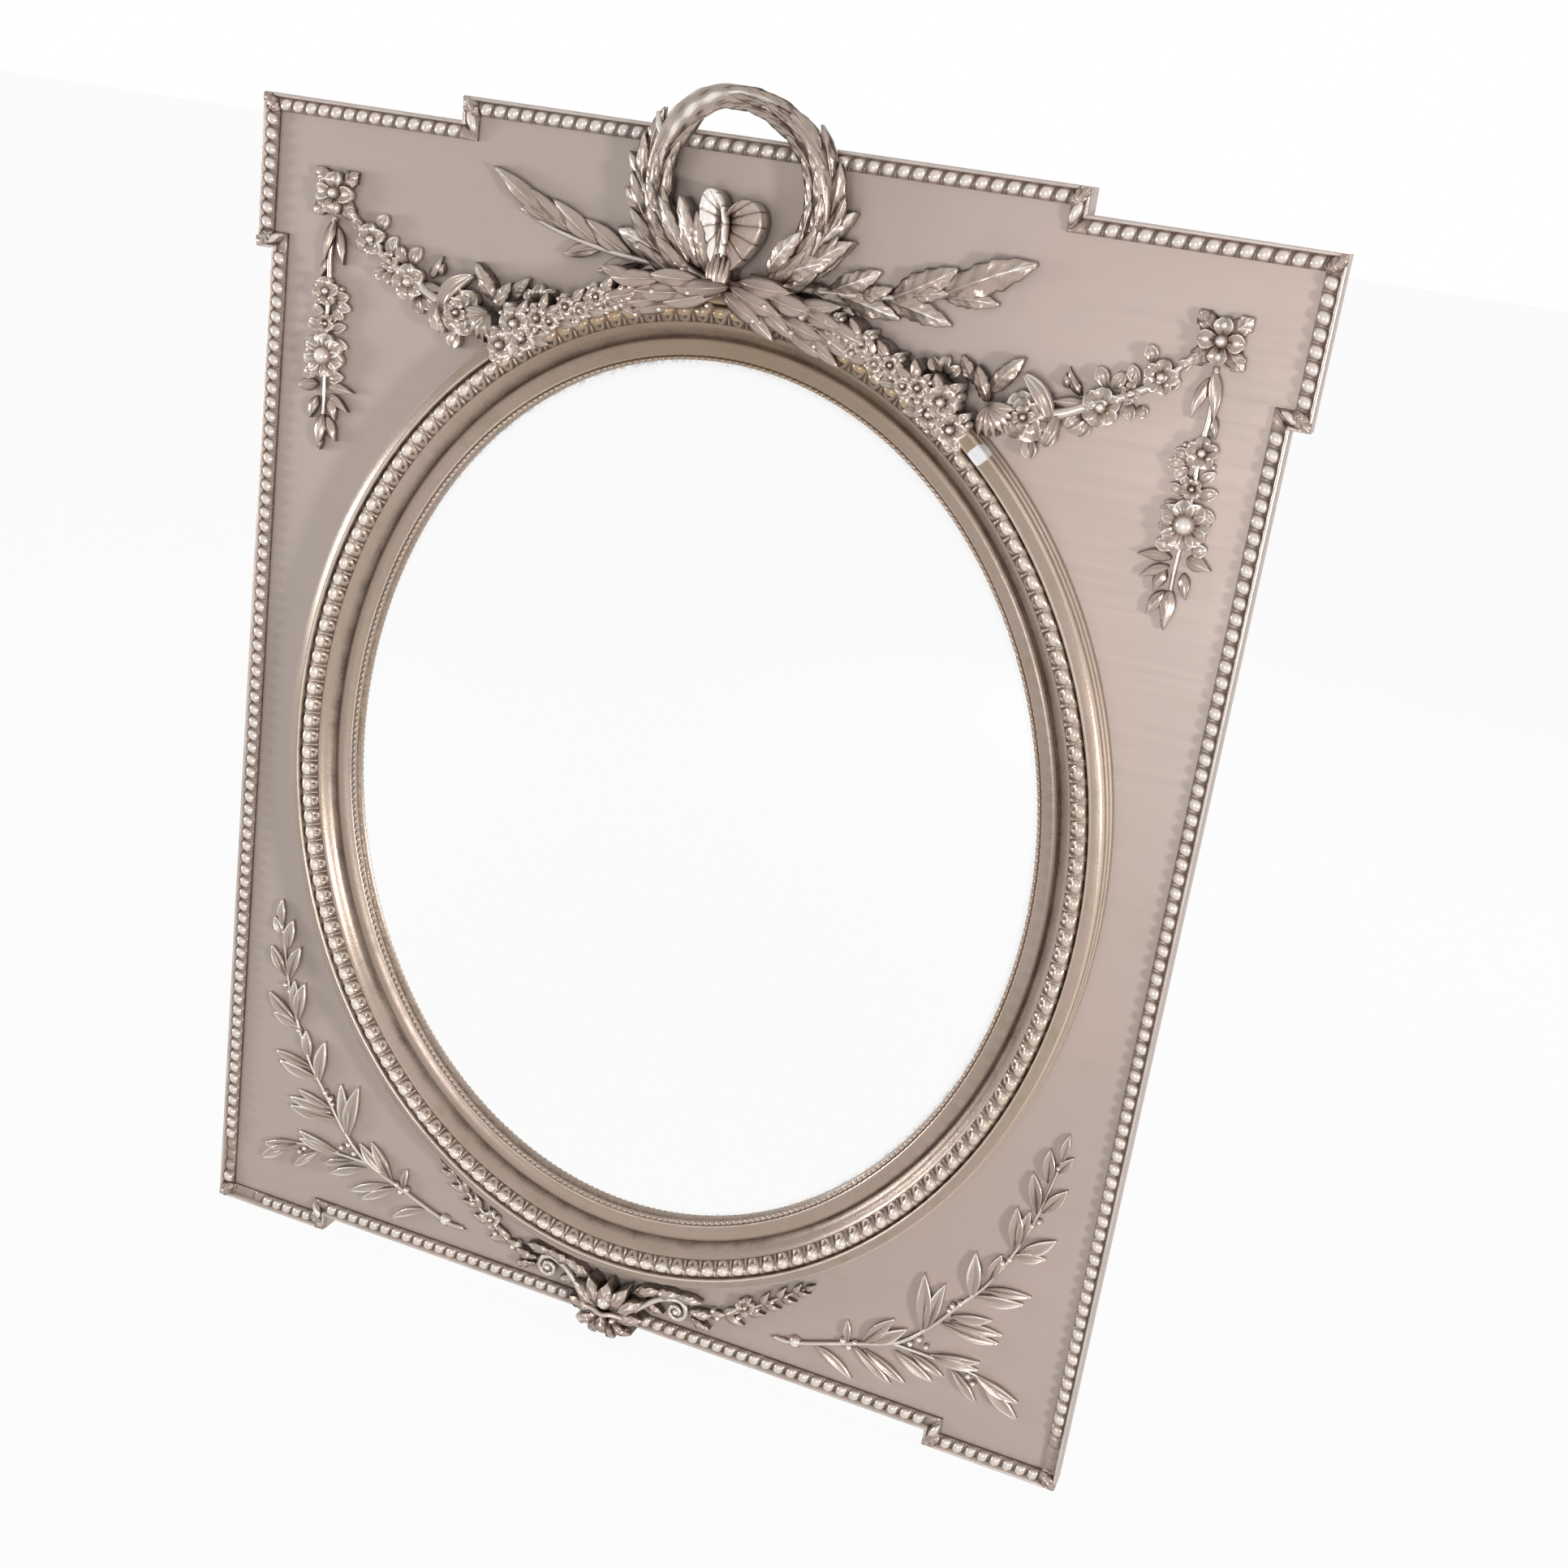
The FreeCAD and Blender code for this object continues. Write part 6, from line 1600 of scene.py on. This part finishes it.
@dataclass
class Finishes:
    """Every finish of the mirror, made once and given to the pieces by slot."""

    bench: Bench
    oval: OvalMoulding

    def by_slot(self) -> dict[str, bpy.types.Material]:
        """The materials by the record's slot."""
        return {
            "gilt_field": GiltField(
                "gilt_field",
                body=(186, 172, 164),
                warm=(190, 173, 165),
                cool=(177, 167, 156),
                stain=(166, 151, 139),
                wood=(150, 116, 80),
            ).made(),
            "gilt_border": Gilt(
                "gilt_border",
                hollow=(78, 60, 48),
                body=(172, 156, 146),
                crest=(250, 241, 234),
                warm=(178, 158, 148),
                cool=(160, 147, 132),
                crest_highlight=0.72,
            ).made(),
            "gilt_oval": Gilt(
                "gilt_oval",
                hollow=(78, 59, 45),
                body=(170, 152, 137),
                crest=(252, 241, 230),
                warm=(177, 158, 146),
                cool=(153, 138, 116),
                metal=0.28,
                rough=0.28,
                # the oval's top and right side painted in shade
                dull=(-0.16, -0.07),
                white_spot=(0.2113, -0.117, -0.715),
            ).made(),
            "gilt_carving": Gilt(
                "gilt_carving",
                hollow=(72, 54, 43),
                body=(181, 165, 154),
                crest=(255, 248, 242),
                warm=(183, 164, 153),
                cool=(154, 142, 123),
                metal=0.4,
                rough=0.26,
                crest_highlight=1.0,
            ).made(),
            "mirror_silvered": Silvering(
                "mirror_silvered",
                self.oval.half_width * MM,
                self.oval.half_height * MM,
                self.bench.feet + self.oval.middle * MM,
            ).made(),
            "raw_wood": Timber("raw_wood", PINE_PALE, PINE_DARK, (3, 60, 60)).made(),
            "back_board": Timber("back_board", (166, 128, 88), (134, 98, 62), (46, 46, 2.2)).made(),
            "plain_steel": DullSteel("plain_steel", (176, 176, 172), (132, 131, 126)).made(),
        }

    def dress(self) -> None:
        """Gives each piece and CAD node the material of its slot, and upright battens their own grain."""
        materials = self.by_slot()
        upright = Timber("raw_wood_upright", PINE_PALE, PINE_DARK, (60, 60, 3)).made()
        slots = {row["node"]: row["material_slot"] for row in frame["record"]["subparts"]}
        for piece in bpy.data.objects:
            if piece.type != "MESH" or piece.get("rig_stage"):
                continue
            slot = piece.get("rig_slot") or slots.get(piece.name)
            if slot is None:
                raise ValueError(f"{piece.name} has no material slot")
            material = upright if piece.name in ("batten_left", "batten_right") else materials[slot]
            piece.data.materials.clear()
            piece.data.materials.append(material)


# -------------------------------------------------------------------- studio


@dataclass
class Lamp:
    """One soft square lamp."""

    name: str
    place: tuple[float, float, float]
    aim: tuple[float, float, float]
    size: float
    power: float
    colour: tuple[float, float, float] = (1.0, 1.0, 1.0)

    def build(self) -> None:
        """Hangs the lamp and turns it to its aim."""
        light = bpy.data.lights.new(self.name, "AREA")
        light.size = self.size
        light.energy = self.power
        light.color = self.colour
        lamp = bpy.data.objects.new(self.name, light)
        toward = Vector(self.aim) - Vector(self.place)
        lamp.matrix_world = Matrix.Translation(self.place) @ toward.to_track_quat("-Z", "Y").to_matrix().to_4x4()
        bpy.context.scene.collection.objects.link(lamp)


@dataclass
class Studio:
    """A pale floor, a white surround and soft lamps, with the camera at the photograph's angle."""

    bench: Bench
    lens: float = 43.545
    eye: tuple[float, float, float] = (0.55216, -1.4314, 0.06989)
    right: tuple[float, float, float] = (0.92524949, 0.35273966, 0.13959985)
    down: tuple[float, float, float] = (0.23561358, -0.24592423, -0.94021674)
    ahead: tuple[float, float, float] = (-0.29732075, 0.90282667, -0.31065152)
    sensor: float = 36
    clip: tuple[float, float] = (0.05, 200)
    white: float = 1.0  # strength of what the camera sees as plain white
    fill: float = 0.3  # strength of the surround's own light
    floor_half: float = 60.0
    floor_gap: float = 0.0005  # below the feet, in metres
    floor_plain: float = 0.94  # share of plain white in the floor that the camera sees

    def camera(self) -> None:
        """Sets up the camera from its axes, with no shift."""
        data = bpy.data.cameras.new("photo_camera")
        data.sensor_width = self.sensor
        data.lens = self.lens
        data.clip_start, data.clip_end = self.clip
        camera = bpy.data.objects.new("photo_camera", data)
        axes = (Vector(self.right), -Vector(self.down), -Vector(self.ahead))
        camera.matrix_world = Matrix.Translation(self.eye) @ Matrix([[a[k] for a in axes] for k in range(3)]).to_4x4()
        bpy.context.scene.collection.objects.link(camera)
        bpy.context.scene.camera = camera

    def floor(self) -> None:
        """Lays the floor under the feet: pale, and mostly plain white to the camera and to reflections."""
        mesh = bpy.data.meshes.new("studio_floor")
        half, level = self.floor_half, self.bench.feet - self.floor_gap
        corners = [(-half, -half, level), (half, -half, level), (half, half, level), (-half, half, level)]
        mesh.from_pydata(corners, [], [(0, 1, 2, 3)])
        floor = bpy.data.objects.new("studio_floor", mesh)
        bpy.context.scene.collection.objects.link(floor)
        palette = Palette("studio_floor")
        rays = palette.node("ShaderNodeLightPath", {}, {})
        seen = palette.shown(rays)
        pale = palette.mix(palette.noise(palette.place(), 2.0, 3), (246, 246, 245), (249, 249, 249))
        colour = palette.mix(rays["Is Diffuse Ray"], pale, (150, 146, 142))
        paint = palette.node("ShaderNodeBsdfPrincipled", {}, {"Base Color": colour, "Roughness": 0.8})
        glow = palette.node("ShaderNodeEmission", {}, {"Color": (1, 1, 1, 1), "Strength": self.white})
        both = palette.node("ShaderNodeMixShader", {}, {0: seen * self.floor_plain, 1: paint[0], 2: glow[0]})
        mesh.materials.append(palette.shaded(both[0]))
        floor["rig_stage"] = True

    def surround(self) -> None:
        """Lights the room: plain white to the camera and to reflections, a soft fill to all else."""
        world = bpy.data.worlds.new("studio_surround")
        world.use_nodes = True
        graph = Graph(world.node_tree)
        seen = graph.shown(graph.node("ShaderNodeLightPath", {}, {}))
        fill = graph.node("ShaderNodeBackground", {}, {"Color": (1.0, 0.99, 0.98, 1), "Strength": self.fill})
        white = graph.node("ShaderNodeBackground", {}, {"Color": (1, 1, 1, 1), "Strength": self.white})
        both = graph.node("ShaderNodeMixShader", {}, {0: seen, 1: fill[0], 2: white[0]})
        graph.node("ShaderNodeOutputWorld", {}, {"Surface": both[0]})
        bpy.context.scene.world = world

    def build(self) -> None:
        """Sets up the camera, the floor, the surround and the lamps."""
        self.camera()
        self.floor()
        self.surround()
        for lamp in (
            Lamp("key", (3.4, -2.0, -0.4), (0, 0, -0.5), 0.5, 78, (1.0, 0.97, 0.95)),
            Lamp("front", (0.4, -2.9, -0.6), (0.1, 0, -0.6), 0.7, 17, (1.0, 0.98, 0.97)),
            Lamp("fill_left", (-2.6, -0.8, -0.4), (0, 0, -0.5), 0.6, 26, (0.97, 0.98, 1.0)),
            Lamp("back", (0.8, 2.2, 1.2), (0, 0, -0.4), 1.6, 26),
        ):
            lamp.build()
        bpy.context.scene.view_settings.view_transform = "Standard"


def main() -> None:
    """Builds the mirror's looks in order."""
    bench = Bench.of_panel()
    oval = OvalMoulding(bench)
    for assembly in (
        Studio(bench),
        EggBorder(bench),
        oval,
        Wreath(bench),
        Bow(bench),
        UpperLaurel(bench),
        KnotLeaves(bench),
        CornerRosette(bench),
        FlowerDrop(bench),
        Garland(bench),
        OliveSprig(bench),
        BasePalmette(bench),
        BaseScroll(bench),
    ):
        assembly.build()
        LOG.info("built %s", type(assembly).__name__)
    Finishes(bench, oval).dress()
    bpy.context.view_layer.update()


if __name__ == "__main__":
    main()
